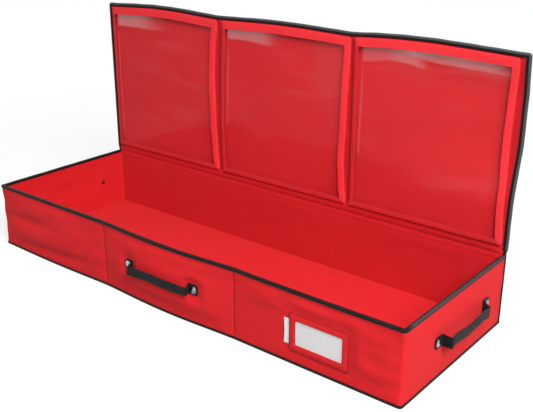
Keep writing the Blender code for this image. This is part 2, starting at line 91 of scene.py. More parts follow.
def nearSeams(x, width):
    return sum(bell(x, seam, width) for seam in seams)


def hump(share, power=1.0):
    return max(math.sin(math.pi * share), 0.0) ** power


def mix(first, second, share):
    return first + (second - first) * share


def evenly(low, high, count):
    return [mix(low, high, at / count) for at in range(count + 1)]


def steps(low, high, size):
    return evenly(low, high, max(int(round(abs(high - low) / size)), 1))


def arc(start, turn, count):
    # (cosine, sine) of even steps from one angle on, in degrees
    angles = [math.radians(start + turn * at / count) for at in range(count + 1)]
    return [(math.cos(angle), math.sin(angle)) for angle in angles]


def through(points, place):
    # the value at a place on an eased line through (place, value) points
    if place <= points[0][0]:
        return points[0][1]
    for (low, first), (high, second) in zip(points, points[1:]):
        if place <= high:
            return mix(first, second, ease(low, high, place))
    return points[-1][1]


def withSeams(values, reach):
    # more columns beside each seam, so that its groove is drawn sharply
    near = [seam + shift for seam in seams for shift in reach + [0.0] + [-r for r in reach]]
    inside = [v for v in near if min(values) < v < max(values)]
    kept = [v for v in values if all(abs(v - n) > 0.0006 for n in inside)]
    return sorted(kept + inside)


def ripple(x, y, z, size, seed):
    return noise.noise(Vector((x / size, y / size, z / size + seed)))


def runs(points):
    # how far along a line each of its points lies
    along = [0.0]
    for a, b in zip(points, points[1:]):
        along.append(along[-1] + (b - a).length)
    return along


# looks

white = (1, 1, 1)
# the deep red of painted shade in seams, folds and valleys
paintedShadeColour = (0.16, 0.004, 0.006)


def addNode(look, kind, inputs=None, **settings):
    # an input is linked where a socket is given and set where a value is
    made = look.node_tree.nodes.new("ShaderNode" + kind)
    for name, value in settings.items():
        setattr(made, name, value)
    for name, value in (inputs or {}).items():
        socket = made.inputs[name]
        if isinstance(value, bpy.types.NodeSocket):
            look.node_tree.links.new(value, socket)
        else:
            socket.default_value = (*value, 1) if socket.type == "RGBA" else value
    return made


def sumNode(look, operation, first, second=0.0, third=0.0):
    made = addNode(look, "Math", {0: first, 1: second, 2: third}, operation=operation)
    return made.outputs[0]


def times(look, first, *others):
    for other in others:
        first = sumNode(look, "MULTIPLY", first, other)
    return first


def timesPlus(look, value, factor, added):
    return sumNode(look, "MULTIPLY_ADD", value, factor, added)


def wave(look, value, pitch):
    return sumNode(look, "SINE", times(look, value, 2 * math.pi / pitch))


def grain(look, coordinates, scale, stretch=(1, 1, 1), detail=3.0):
    place = addNode(look, "Mapping", {"Vector": coordinates, "Scale": stretch}).outputs[0]
    made = addNode(look, "TexNoise", {"Vector": place, "Scale": scale, "Detail": detail})
    return made.outputs["Fac"]


def blendColours(look, share, first, second):
    return addNode(look, "Mix", {0: share, 6: first, 7: second}, data_type="RGBA").outputs[2]


def ranged(look, value, low, high, start=0.0, end=1.0):
    inputs = {"Value": value, "From Min": start, "From Max": end, "To Min": low, "To Max": high}
    return addNode(look, "MapRange", inputs).outputs[0]


def between(look, value, low, high):
    # 0 at low, 1 at high, eased
    return addNode(look, "MapRange", {"Value": value, "From Min": low, "From Max": high},
                   interpolation_type="SMOOTHSTEP").outputs[0]


def flatMeasure(look):
    # a cloth's own flat measure, whole and as along, across
    flat = addNode(look, "TexCoord").outputs["UV"]
    return flat, addNode(look, "SeparateXYZ", {"Vector": flat}).outputs


def lineAcross(look, parts, axis, place, narrow, wide, start=-1.0, soft=0.008):
    # 1 on a line across one axis, from start along the other; narrow and wide are half widths
    away = sumNode(look, "ABSOLUTE", sumNode(look, "SUBTRACT", parts[axis], place))
    return times(look, between(look, away, wide, narrow),
                 between(look, parts[1 - axis], start, start + soft))


def seenDirectly(look):
    # 1 where the camera, gloss or film looks at it
    path = addNode(look, "LightPath").outputs
    seen = sumNode(look, "MAXIMUM", path["Is Camera Ray"], path["Is Glossy Ray"])
    return sumNode(look, "MAXIMUM", seen, path["Is Transmission Ray"])


def newLook(name, roughness, **constants):
    look = bpy.data.materials.new(name)
    look.use_nodes = True
    shader = look.node_tree.nodes["Principled BSDF"]
    shader.inputs["Roughness"].default_value = roughness
    for socket, value in constants.items():
        shader.inputs[socket.replace("_", " ")].default_value = value
    return look, shader


def dress(look, shader, colour, roughness, height, strength, distance):
    bump = addNode(look, "Bump", {"Height": height, "Strength": strength, "Distance": distance})
    wanted = {"Base Color": colour, "Roughness": roughness, "Normal": bump.outputs[0]}
    for socket, value in wanted.items():
        look.node_tree.links.new(value, shader.inputs[socket])
    return look


def layered(look, share, under, over):
    # one shader over another, as the look's surface
    whole = addNode(look, "MixShader", {0: share, 1: under.outputs[0], 2: over.outputs[0]})
    surface = look.node_tree.nodes["Material Output"].inputs["Surface"]
    look.node_tree.links.new(whole.outputs[0], surface)
    return whole


def clothLook(name, colour, shade, pitch, sheen, strength, paintedShades=()):
    # plain weave of two crossed threads; a painted shade is its share of dark, then its line: shade
    # painted into seams, folds and valleys
    look, shader = newLook(name, 0.75, Sheen_Weight=sheen, Sheen_Roughness=0.45,
                           Specular_IOR_Level=0.17)
    flat, parts = flatMeasure(look)
    weave = times(look, wave(look, parts[0], pitch), wave(look, parts[1], pitch))
    threads = grain(look, flat, 90.0, (1.0, 9.0, 1.0))
    mottle = grain(look, flat, 7.0, detail=5.0)
    share = timesPlus(look, weave, 0.1, ranged(look, threads, 0.25, 0.75))
    share = timesPlus(look, mottle, 0.7, sumNode(look, "ADD", share, -0.35))
    tint = blendColours(look, share, shade, colour)
    # painted shade: each line darkens the cloth where its seam, fold or valley lies in shade
    for depth, *place in paintedShades:
        tint = blendColours(look, times(look, lineAcross(look, parts, *place), depth), tint,
                            paintedShadeColour)
    height = timesPlus(look, threads, 0.8, weave)
    return dress(look, shader, tint, ranged(look, threads, 0.66, 0.84), height, strength, 0.0002)


def tapeLook(name, colour, worn, rib, roughness, sheen, crown=None):
    # fine ribs across the tape, a little worn; a crown is a painted highlight, a paler colour and
    # the line along the tape's fold where it shows
    look, shader = newLook(name, roughness, Sheen_Weight=sheen, Sheen_Roughness=0.4,
                           Specular_IOR_Level=0.12)
    flat, parts = flatMeasure(look)
    ribs = wave(look, parts[0], rib)
    wear = grain(look, flat, 45.0, (1.0, 3.0, 1.0), 4.0)
    share = timesPlus(look, ribs, 0.12, ranged(look, wear, -0.1, 0.9))
    tint = blendColours(look, share, colour, worn)
    if crown:
        pale, *place = crown
        tint = blendColours(look, lineAcross(look, parts, *place), tint, pale)
    return dress(look, shader, tint, ranged(look, wear, roughness - 0.1, roughness + 0.15),
                 timesPlus(look, wear, 0.8, ribs), 0.35, 0.0002)


def webbingLook(name, colour, worn):
    # herringbone: ribs that turn back and forth across the strap
    look, shader = newLook(name, 0.7, Sheen_Weight=0.02, Sheen_Roughness=0.5,
                           Specular_IOR_Level=0.12)
    flat, parts = flatMeasure(look)
    zigzag = sumNode(look, "PINGPONG", parts[1], 0.0028)
    ribs = wave(look, sumNode(look, "ADD", parts[0], zigzag), 0.0019)
    wear = grain(look, flat, 60.0, (1.0, 2.0, 1.0), 4.0)
    share = timesPlus(look, ribs, 0.25, ranged(look, wear, 0.1, 0.8))
    return dress(look, shader, blendColours(look, share, colour, worn),
                 ranged(look, wear, 0.6, 0.8), timesPlus(look, wear, 0.5, ribs), 0.6, 0.0004)


def steelLook(name, dark, bright):
    # bright plated steel: soft streaks over fine scuffs
    look, shader = newLook(name, 0.2, Metallic=1.0)
    place = addNode(look, "TexCoord").outputs["Object"]
    scuffs = grain(look, place, 900.0, (1.0, 0.2, 1.0), 4.0)
    streaks = ranged(look, grain(look, place, 170.0, (1.0, 1.0, 0.5)), 0.0, 1.0, 0.38, 0.62)
    return dress(look, shader, blendColours(look, streaks, dark, bright),
                 ranged(look, scuffs, 0.14, 0.36), scuffs, 0.05, 0.0002)


def boardLook(name, colour, shade):
    look, shader = newLook(name, 0.9)
    fibres = grain(look, addNode(look, "TexCoord").outputs["Object"], 120.0, (1.0, 1.0, 4.0), 6.0)
    return dress(look, shader, blendColours(look, fibres, shade, colour),
                 ranged(look, fibres, 0.82, 0.95), fibres, 0.2, 0.0003)


def filmCatches(look, flat, place, tall, bands):
    # painted reflection: masks that raise the film's mirror share where it should catch the light:
    # under its mouth, down its left side, over its foot; a band is its start, soft start and end
    # along the pocket, its distance down and its strength
    parts = addNode(look, "SeparateXYZ", {"Vector": flat}).outputs
    across, upward = parts[0], parts[1]
    drift = sumNode(look, "SUBTRACT", grain(look, place, 5.0, (1.0, 1.0, 0.4), 1.0), 0.5)
    level = timesPlus(look, drift, 0.055, upward)
    slanted = timesPlus(look, sumNode(look, "ADD", upward, drift), 0.35, across)
    total = 0.0
    for start, soft, end, depth, share in bands:
        glare = times(look, between(look, level, tall - depth, tall - depth + 0.006),
                      between(look, across, start, start + soft),
                      between(look, slanted, end + 0.13, end + 0.05))
        total = timesPlus(look, glare, share, total)
    patch = between(look, grain(look, place, 6.5, (1.0, 1.0, 0.8), 1.0), 0.36, 0.52)
    total = times(look, total, ranged(look, patch, 0.55, 1.0))
    # painted highlight: a thin line of extra mirror down the left side
    side = timesPlus(look, drift, 0.02, sumNode(look, "ADD", across, -0.02))
    edge = times(look, between(look, sumNode(look, "ABSOLUTE", side), 0.0038, 0.0006),
                 between(look, upward, 0.02, 0.06), between(look, upward, tall - 0.03, tall - 0.08))
    total = timesPlus(look, edge, 0.022, total)
    # painted glints: streaks of extra mirror, most over the foot, where its ripples would catch the
    # light
    paintedGlints = times(look, between(look, grain(look, place, 26.0, (0.3, 1.0, 1.5), 2.0), 0.52, 0.72),
                   between(look, across, 0.014, 0.03))
    foot = times(look, paintedGlints, between(look, upward, 0.07, 0.02))
    return timesPlus(look, paintedGlints, 0.006, timesPlus(look, foot, 0.03, total))


def filmLook(name, haze, shine, tall=None, bands=()):
    # clear film: nearly all open, with a faint mirror on it, made stronger in places by painted
    # reflection masks
    look, shader = newLook(name, 0.35, Specular_IOR_Level=0.5)
    places = addNode(look, "TexCoord").outputs
    smear = grain(look, places["Object"], 9.0, (1.0, 1.0, 1.7), 2.0)
    tint = blendColours(look, smear, (0.84, 0.84, 0.86), (0.94, 0.94, 0.95))
    look.node_tree.links.new(tint, shader.inputs["Base Color"])
    clear = addNode(look, "BsdfTransparent", {"Color": (0.985, 0.98, 0.98)})
    mirror = addNode(look, "BsdfGlossy", {"Color": white, "Roughness": 0.12})
    facing = addNode(look, "LayerWeight", {"Blend": 0.5}).outputs["Facing"]
    mirrored = timesPlus(look, sumNode(look, "POWER", facing, 5.0), 0.1, shine)
    if tall:
        catches = filmCatches(look, places["UV"], places["Object"], tall, bands)
        mirrored = sumNode(look, "ADD", mirrored, catches)
    glossy = layered(look, mirrored, clear, mirror)
    layered(look, ranged(look, smear, haze * 0.2, haze), glossy, shader)
    return look


blackTape = ("black_tape", tapeLook, (0.003, 0.003, 0.0032), (0.008, 0.0085, 0.0085),
             0.0012, 0.5, 0.02)
pocketFilm = ("clear_film", filmLook, 0.004, 0.004, 0.3336)
lookValues = {
    # slot, maker, colour, shade, thread pitch, sheen, bump and painted shade lines
    "outerCloth": ("red_cloth", clothLook, (0.69, 0.015, 0.02), (0.56, 0.01, 0.014),
                   0.0011, 0.04, 0.3),
    # wallCloth: painted shade along its two seams at the front
    "wallCloth": ("red_cloth", clothLook, (0.69, 0.016, 0.021), (0.56, 0.01, 0.014),
                  0.0011, 0.02, 0.3,
                  [(0.6, 0, place, 0.0004, 0.0018) for place in (0.6941, 1.0381)]),
    # innerCloth: a darker copy of the red lining than lidCloth, painted shade for the inside of the
    # box
    "innerCloth": ("red_lining", clothLook, (0.55, 0.011, 0.016), (0.46, 0.007, 0.01),
                   0.0011, 0.03, 0.3),
    # lidCloth: painted shade beside the lid's ends, in the valleys between the pockets, and on a
    # line at the hinge fold
    "lidCloth": ("red_lining", clothLook, (0.64, 0.013, 0.019), (0.52, 0.008, 0.012),
                 0.0011, 0.03, 0.3,
                 [(0.3, 0, -0.517, 0.01, 0.016, 0.154), (0.3, 0, -0.172, 0.008, 0.012, 0.154),
                  (0.3, 0, 0.172, 0.008, 0.012, 0.154), (0.42, 0, 0.517, 0.013, 0.021, 0.154),
                  (0.34, 1, 0.1404, 0.0004, 0.0022)]),
    # frameTape: a lighter, whiter copy of the red tape, painted highlight where the pocket borders
    # catch the light
    "frameTape": ("red_tape", clothLook, (0.68, 0.026, 0.034), (0.59, 0.018, 0.025),
                  0.0009, 0.04, 0.25),
    # labelTape: painted shade along the groove inside the label's border
    "labelTape": ("red_tape", clothLook, (0.66, 0.014, 0.019), (0.55, 0.01, 0.014),
                  0.0009, 0.04, 0.25, [(0.7, 1, 0.0022, 0.0021, 0.0034)]),
    # slot, maker, colour, worn colour, rib pitch, roughness, sheen and crown, a painted highlight
    "edgeTape": blackTape,
    # painted highlight: the lid tape's fold, and the rim tape's top at the right end only, are
    # paler where the light catches them
    "lidTape": (*blackTape, ((0.048, 0.053, 0.055), 1, 0.0125, 0.0038, 0.0055)),
    "rimTape": (*blackTape, ((0.034, 0.038, 0.04), 1, 0.006, 0.0022, 0.0037, 1.378, 0.016)),
    "redThread": ("red_tape", tapeLook, (0.62, 0.014, 0.02), (0.76, 0.03, 0.04),
                  0.0007, 0.5, 0.05),
    "blackThread": ("black_tape", tapeLook, (0.006, 0.006, 0.006), (0.018, 0.018, 0.018),
                    0.0007, 0.45, 0.04),
    "webbing": ("black_webbing", webbingLook, (0.0035, 0.004, 0.0042), (0.01, 0.0115, 0.0115)),
    "steel": ("polished_steel", steelLook, (0.14, 0.14, 0.15), (0.52, 0.52, 0.53)),
    "board": ("grey_board", boardLook, (0.46, 0.41, 0.34), (0.36, 0.32, 0.27)),
    "card": ("white_card", boardLook, (0.74, 0.74, 0.74), (0.68, 0.68, 0.68)),
    # slot, maker, haze, shine, height and bands of painted glare
    "leftFilm": (*pocketFilm, ((0.018, 0.006, 0.185, 0.04, 0.068),)),
    "middleFilm": (*pocketFilm, ((0.016, 0.006, 0.14, 0.041, 0.064),
                                 (0.235, 0.03, 0.31, 0.122, 0.008))),
    "rightFilm": (*pocketFilm, ((0.018, 0.006, 0.13, 0.048, 0.062),
                                (0.092, 0.06, 0.325, 0.031, 0.062),
                                (0.19, 0.04, 0.325, 0.041, 0.01))),
    "labelFilm": ("clear_film", filmLook, 0.01, 0.004),
}
looks = {name: make(name, *values) for name, (_, make, *values) in lookValues.items()}
print("looks made")


# ways to make a piece

def pick(piece=None):
    bpy.ops.object.select_all(action="DESELECT")
    if piece:
        piece.select_set(True)
        bpy.context.view_layer.objects.active = piece


def settle(piece, kind, **settings):
    # adds one modifier and applies it
    pick(piece)
    change = piece.modifiers.new(kind.lower(), kind)
    for name, value in settings.items():
        setattr(change, name, value)
    bpy.ops.object.modifier_apply(modifier=change.name)


def finishPiece(piece, look, body=None, stands=(), degrees=40):
    piece.data.materials.clear()
    piece.data.materials.append(looks[look])
    pick(piece)
    bpy.ops.object.shade_smooth_by_angle(angle=math.radians(degrees))
    if body:
        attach(piece, body)
    if stands:
        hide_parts(*stands)
    return piece


def linked(name, mesh):
    piece = bpy.data.objects.new(name, mesh)
    bpy.context.scene.collection.objects.link(piece)
    return piece


def meshFrom(name, rows, flats, wrap=False):
    # a sheet over rows of points; flats holds each point's place on the flat cloth
    wide = len(rows[0])
    faces, corners = [], []
    for r in range(len(rows) - 1):
        for c in range(wide if wrap else wide - 1):
            d = (c + 1) % wide
            e = min(c + 1, len(flats[r]) - 1)
            faces.append((r * wide + c, r * wide + d, (r + 1) * wide + d, (r + 1) * wide + c))
            corners += [flats[r][c], flats[r][e], flats[r + 1][e], flats[r + 1][c]]
    mesh = bpy.data.meshes.new(name)
    mesh.from_pydata([p for row in rows for p in row], [], faces)
    layer = mesh.uv_layers.new(name="flat")
    for at, place in enumerate(corners):
        layer.data[at].uv = place
    mesh.update()
    return linked(name, mesh)


def flatOf(rows, first, second):
    # a sheet's flat places where it is measured along two of the axes
    return [[(p[first], p[second]) for p in row] for row in rows]


def sheetPiece(name, rows, flats, thickness, look, body, stands=(), offset=-1.0, wrap=False):
    piece = meshFrom(name, rows, flats, wrap)
    settle(piece, "SOLIDIFY", thickness=thickness, offset=offset)
    return finishPiece(piece, look, body, stands)


def editWhole(piece, work, **settings):
    pick(piece)
    bpy.ops.object.mode_set(mode="EDIT")
    bpy.ops.mesh.select_all(action="SELECT")
    work(**settings)
    bpy.ops.object.mode_set(mode="OBJECT")


def faceOut(piece):
    editWhole(piece, bpy.ops.mesh.normals_make_consistent, inside=False)


def sweep(name, rings, section, wrap=False):
    # a closed section carried along a line of rings, its ends closed
    around = runs([Vector(place) for place in section + section[:1]])
    middles = [sum(ring, Vector()) / len(ring) for ring in rings]
    along = runs(middles + middles[:1])
    rows = rings + rings[:1] if wrap else rings
    flats = [[(reach, across) for across in around] for reach in along[:len(rows)]]
    piece = meshFrom(name, rows, flats, wrap=True)
    if wrap:
        settle(piece, "WELD", merge_threshold=0.00001)
    else:
        editWhole(piece, bpy.ops.mesh.fill_holes, sides=0)
    faceOut(piece)
    return piece


# one stitch as shares of its pitch and thickness, and the faces over its nine points
stitch = {
    "tip": 0.34, "shoulder": 0.2, "rise": 0.25,
    "faces": ((0, 2, 1), (0, 1, 3), (1, 2, 5, 4), (1, 4, 6, 3), (4, 5, 7), (4, 7, 6),
              (0, 8, 2), (0, 3, 8), (2, 8, 5), (3, 6, 8), (5, 8, 7), (6, 7, 8)),
}


def stitchRow(name, path, size, pitch, look, body):
    # thread seen as a row of short raised stitches along a path of (point, outward) pairs
    shape = bmesh.new()
    flat = shape.loops.layers.uv.new("flat")
    ahead, travelled = pitch / 2, 0.0
    for (a, out), (b, _) in zip(path, path[1:]):
        length = (b - a).length
        while length and ahead <= travelled + length:
            middle = a.lerp(b, (ahead - travelled) / length) + out * size * stitch["rise"]
            way = (b - a) / length
            side, lift = out.cross(way) * size * 0.5, out * size * 0.5
            tip, shoulder = way * pitch * stitch["tip"], way * pitch * stitch["shoulder"]
            near, far = middle - shoulder, middle + shoulder
            points = [middle - tip, near + lift, near + side, near - side, far + lift,
                      far + side, far - side, middle + tip, middle - lift]
            v = [shape.verts.new(p) for p in points]
            for corners in stitch["faces"]:
                face = shape.faces.new([v[c] for c in corners])
                for loop in face.loops:
                    loop[flat].uv = (ahead + (loop.vert.co - middle).dot(way), 0.0)
            ahead += pitch
        travelled += length
    bmesh.ops.recalc_face_normals(shape, faces=shape.faces)
    mesh = bpy.data.meshes.new(name)
    shape.to_mesh(mesh)
    shape.free()
    return finishPiece(linked(name, mesh), look, body, degrees=30)


# camera, lights and floor

studio = {
    "camera": (1.0411, -1.1514, 0.7559), "turn": 39.16, "tilt": 69.03, "lens": 55.9,
    "sensor": 36.0, "worldLight": 0.34, "floorSize": 14.0, "floorLevel": -0.0002,
    "floorPale": ((0.86, 0.86, 0.86), (0.89, 0.89, 0.89)), "floorThrown": (0.24, 0.24, 0.24),
    # the floor's own light near the object, and from where to where it grows to 1
    "glow": 0.7, "glowGrows": (0.8, 1.9),
    # each light's place, what it points at, its size and its power
    "lights": {"keyLight": ((2.2, -1.1, 2.4), (0.05, 0, 0.15), (1.6, 1.4), 158.0),
               "fillLight": ((1.0, -2.3, 2.2), (0, 0, 0.2), (2.0, 1.6), 24.0),
               "topLight": ((0.0, -0.2, 3.0), (0, 0, 0), (2.4, 2.0), 16.0)},
}


def setCamera():
    bpy.context.scene.view_settings.view_transform = "Standard"
    turned = (math.radians(studio["tilt"]), 0, math.radians(studio["turn"]))
    bpy.ops.object.camera_add(location=studio["camera"], rotation=turned)
    camera = bpy.context.object
    camera.data.lens = studio["lens"]
    camera.data.sensor_width = studio["sensor"]
    bpy.context.scene.camera = camera


def areaLight(name, place, aim, size, power):
    bpy.ops.object.light_add(type="AREA", location=place)
    lamp = bpy.context.object
    lamp.name = name
    lamp.rotation_euler = (Vector(aim) - Vector(place)).to_track_quat("-Z", "Y").to_euler()
    lamp.data.shape = "RECTANGLE"
    lamp.data.size, lamp.data.size_y = size
    lamp.data.energy = power


def whiteWorld():
    # white where it is seen directly, and a plain level of light elsewhere
    world = bpy.context.scene.world or bpy.data.worlds.new("studio")
    bpy.context.scene.world = world
    world.use_nodes = True
    world.node_tree.nodes.clear()
    level = ranged(world, seenDirectly(world), studio["worldLight"], 1.0)
    sky = addNode(world, "Background", {"Color": white, "Strength": level})
    addNode(world, "OutputWorld", {"Surface": sky.outputs[0]})


def floorLook():
    # pale, and whiter with distance where it is seen; it throws back less light than it shows
    look, shader = newLook("floor", 0.9, Specular_IOR_Level=0.2)
    place = addNode(look, "TexCoord").outputs["Object"]
    pale = blendColours(look, grain(look, place, 3.0), *studio["floorPale"])
    seen = seenDirectly(look)
    tint = blendColours(look, seen, studio["floorThrown"], pale)
    look.node_tree.links.new(tint, shader.inputs["Base Color"])
    away = addNode(look, "VectorMath", {0: place}, operation="LENGTH").outputs["Value"]
    spread = ranged(look, away, studio["glow"], 1.0, *studio["glowGrows"])
    glow = addNode(look, "Emission", {"Color": white, "Strength": 1.0})
    layered(look, times(look, seen, spread), shader, glow)
    return look


setCamera()
for name, values in studio["lights"].items():
    areaLight(name, *values)
whiteWorld()
pick()
bpy.ops.mesh.primitive_plane_add(size=studio["floorSize"], location=(0, 0, studio["floorLevel"]))
floor = bpy.context.object
floor.name = "floor"
floor.data.materials.append(floorLook())
print("camera, lights and floor set")


# the walls: how far the cloth stands out of its plane

wallShape = {
    "puffs": (0.0062, 0.007, 0.0056), "lowest": 0.036, "endPuff": 0.0022, "puffPower": 0.8,
    "wrinkle": 0.0011, "wrinkleSizes": (0.045, 0.05), "cornerEase": 0.0012,
    "cornerSpan": (0.486, 0.51), "cornerFold": 0.022, "sagFrom": 0.085,
    # from where to where the cloth comes free of the tape at its foot and its rim
    "free": (0.0045, 0.022), "held": (0.118, 0.1345),
    # depth and half width of the groove at each seam, and of the cloth drawn in beside it
    "groove": (0.0023, 0.0009), "drawn": (0.0008, 0.009),
    # the end's one dent: depth, then place and half width along and up
    "endDent": (0.0016, 0.02, 0.1, 0.045, 0.016),
    # x, z, half width, half height, depth and fall to the right of each soft dent in the front
    "dents": ((-0.41, 0.0765, 0.072, 0.014, 0.006, -0.04),
              (-0.345, 0.022, 0.115, 0.014, 0.0072, -0.08),
              (-0.25, 0.1, 0.06, 0.016, 0.001, 0.05),
              (-0.03, 0.012, 0.11, 0.02, 0.0042, 0.05),
              (0.06, 0.105, 0.09, 0.012, 0.0012, 0.05),
              (0.23, 0.03, 0.05, 0.018, 0.002, 0.05),
              (0.285, 0.105, 0.018, 0.022, 0.0014, 0.05),
              (0.455, 0.066, 0.03, 0.02, 0.0022, 0.05),
              (0.44, 0.022, 0.06, 0.016, 0.0024, 0.05)),
    # z, height and depth of each place where a front corner is drawn in, left and right
    "folds": {-1: ((0.1, 0.015, 0.0026), (0.05, 0.02, 0.0016)),
              1: ((0.11, 0.02, 0.0012), (0.06, 0.03, 0.001))},
    # along, z, half width, half height and soft edge of each place that lies flat
    "calm": ((-0.096, 0.071, 0.008, 0.011, 0.02), (0.08, 0.071, 0.008, 0.011, 0.02),
             (0.3585, 0.063, 0.062, 0.0385, 0.018), (0.23, 0.0624, 0.064, 0.0245, 0.024)),
    "endCalm": ((-0.069, 0.071, 0.008, 0.011, 0.02), (0.107, 0.071, 0.008, 0.011, 0.02)),
}
wallRows = steps(walls["foot"], walls["top"], walls["rows"])


def panelPlace(x):
    # which panel, and how far along it
    place = (x + halfX) / walls["panel"]
    index = min(max(int(place), 0), 2)
    return index, clamp(place - index)


def bow(x, z):
    index, along = panelPlace(x)
    fade = clamp((walls["top"] - z) / (walls["top"] - walls["foot"]))
    out = mix(walls["rimBows"][index], walls["footBows"][index], fade)
    return hump(along, walls["bowSharpness"]) * out


def rimSag(x, z):
    index, along = panelPlace(x)
    return walls["rimSags"][index] * hump(along) * ease(wallShape["sagFrom"], walls["top"], z)


def calmness(along, z, spots):
    # nothing moves where a rivet or the label's seam holds the cloth down
    free = 1.0
    for centre, height, wide, tall, soft in spots:
        beside = max(abs(along - centre) - wide, 0.0) / soft
        above = max(abs(z - height) - tall, 0.0) / soft
        free *= ease(0.0, 1.0, math.hypot(beside, above))
    return free


def bound(z, lowest=wallShape["free"][1]):
    # 0 at the foot and the rim, where the tape holds the cloth
    return within(z, wallShape["free"][0], lowest, *wallShape["held"])


def frontSwell(x, z):
    index, along = panelPlace(x)
    height = clamp(z / walls["height"])
    puff = wallShape["puffs"][index] * hump(along, wallShape["puffPower"]) * hump(height ** 0.75)
    for dentX, dentZ, wide, tall, depth, fall in wallShape["dents"]:
        puff -= depth * bell(x, dentX, wide) * bell(z + fall * (x - dentX), dentZ, tall)
    puff += wallShape["wrinkle"] * ripple(x, 0.0, 2.2 * z, wallShape["wrinkleSizes"][0], 4.0)
    puff -= wallShape["cornerEase"] * ease(*wallShape["cornerSpan"], x)
    return bow(x, z) + puff * bound(z, wallShape["lowest"]) * calmness(x, z, wallShape["calm"])


def endSwell(y, z, seed):
    along = clamp((y + halfY) / (2 * halfY))
    height = clamp(z / walls["height"])
    puff = wallShape["endPuff"] * hump(along, wallShape["puffPower"]) * hump(height)
    puff += wallShape["wrinkle"] * ripple(y, 1.7 * z, 0.0, wallShape["wrinkleSizes"][1], seed)
    depth, dentY, wide, dentZ, tall = wallShape["endDent"]
    puff -= depth * bell(y, dentY, wide) * bell(z, dentZ, tall)
    return puff * bound(z) * calmness(y, z, wallShape["endCalm"])


def wallPoint(x, y, normal, z, inset):
    side = -1 if x < 0 else 1
    out = frontSwell(x, z) * max(-normal.y, 0.0) + endSwell(y, z, 7.0 + side) * abs(normal.x)
    corner = math.hypot(abs(x) - halfX, y + halfY)
    fold = sum(depth * bell(z, height, tall) for height, tall, depth in wallShape["folds"][side])
    out -= fold * bound(z) * bell(corner, 0.0, wallShape["cornerFold"])
    return Vector((x, y, z - rimSag(x, z) * max(-normal.y, 0.0))) + normal * (out - inset)


def quarter(centreX, centreY, start):
    radius = walls["cornerRadius"]
    return [(centreX + turnX * radius, centreY + turnY * radius, Vector((turnX, turnY, 0)))
            for turnX, turnY in arc(start, 90, 7)]


def sidePath(backY, reach):
    # the left, front and right walls seen from above, as (x, y, outward)
    inX, inY = halfX - walls["cornerRadius"], -halfY + walls["cornerRadius"]
    path = [(-halfX, y, -right) for y in steps(backY, inY, 0.007)[:-1]]
    path += quarter(-inX, inY, 180)
    path += [(x, -halfY, front) for x in withSeams(steps(-inX, inX, 0.006), reach)[1:-1]]
    path += quarter(inX, inY, 270)
    return path + [(halfX, y, right) for y in steps(inY, backY, 0.007)[1:]]


def seamDip(x, normal):
    if normal.y > -0.5:
        return 0.0
    return sum(depth * nearSeams(x, wide) for depth, wide in (wallShape["groove"],
                                                              wallShape["drawn"]))


def outerWallCloth():
    path = sidePath(0.1757, [0.0005, 0.001, 0.0017, 0.003])
    along = runs([Vector((x, y, 0)) for x, y, _ in path])
    rows = [[wallPoint(x, y, n, z, seamDip(x, n) * within(z, 0.0, 0.02, 0.125, 0.138))
             for x, y, n in path] for z in wallRows]
    piece = sheetPiece("outer_wall_cloth", rows, [[(a, z) for a in along] for z in wallRows],
                       walls["clothThickness"], "wallCloth", "box", ["side_wall_cover"])


def stiffBoard(name, path, node):
    rows = [[wallPoint(x, y, n, z, walls["boardInset"]) for x, y, n in path] for z in wallRows]
    flats = [[(at * 0.01, z) for at in range(len(path))] for z in wallRows]
    sheetPiece(name, rows, flats, walls["boardThickness"], "board", "box", [node])


def stiffBoards():
    spans = {"left": (-0.51, -0.175), "middle": (-0.169, 0.169), "right": (0.175, 0.51)}
    for name, (low, high) in spans.items():
        path = [(x, -halfY, front) for x in steps(low, high, 0.008)]
        stiffBoard("front_stiffener_" + name, path, "front_board_" + name)
    for name, side in (("left", -1), ("right", 1)):
        path = [(side * halfX, y, right * side) for y in steps(-0.171, 0.1734, 0.01)]
        stiffBoard(name + "_stiffener", path[::side], name + "_end_board")


outerWallCloth()
stiffBoards()
print("outer walls made")


# the lining inside, and the cloth underneath

lining = {
    "wrinkle": 0.001, "seamDepth": 0.00018, "puff": 0.0008, "columns": (0.5105, 0.008),
    "ends": (-0.1712, 0.1705, 0.008), "rows": 0.0066,
    # the floor: half length, half depth, level, waves, and the rise and groove at its seams
    "floor": (0.5118, 0.173, 0.0044), "floorWave": 0.0014,
    "floorSeams": ((0.0007, 0.01), (-0.0006, 0.002)),
}
underside = {"reach": (0.5115, 0.1725), "dip": (0.0003, 0.003), "thickness": 0.0009}


def liningPath():
    reach, size = lining["columns"]
    columns = withSeams(steps(-reach, reach, size), [0.0015, 0.003])
    ends = steps(*lining["ends"])
    path = [(x, -halfY, front) for x in columns] + [(halfX, y, right) for y in ends]
    path += [(x, halfY, back) for x in reversed(columns)]
    return path + [(-halfX, y, -right) for y in reversed(ends)]


def liningPoint(x, y, n, z):
    fade = bound(z)
    ripples = abs(ripple(x, y, 1.6 * z, 0.05, 11.0)) * lining["wrinkle"] * fade
    if abs(n.y) > 0.5:
        ripples += lining["puff"] * hump(panelPlace(x)[1]) * fade
        ripples -= lining["seamDepth"] * nearSeams(x, 0.003) * fade
        ripples *= calmness(x, z, wallShape["calm"])
    else:
        ripples *= calmness(y, z, wallShape["endCalm"])
    inset = walls["liningInset"] + ripples
    return Vector((x, y - inset, z)) if n.y > 0.5 else wallPoint(x, y, n, z, inset)


def liningWalls():
    path = liningPath()
    heights = steps(walls["liningInset"], walls["top"], lining["rows"])
    corner = [Vector((x, y, 0)) for x, y, _ in path]
    along = runs(corner + corner[:1])
    rows = [[liningPoint(x, y, n, z) for x, y, n in path] for z in heights]
    piece = sheetPiece("lining_walls", rows, [[(a, z) for a in along] for z in heights],
                       walls["liningThickness"], "innerCloth", "box", ["inner_lining"], wrap=True)


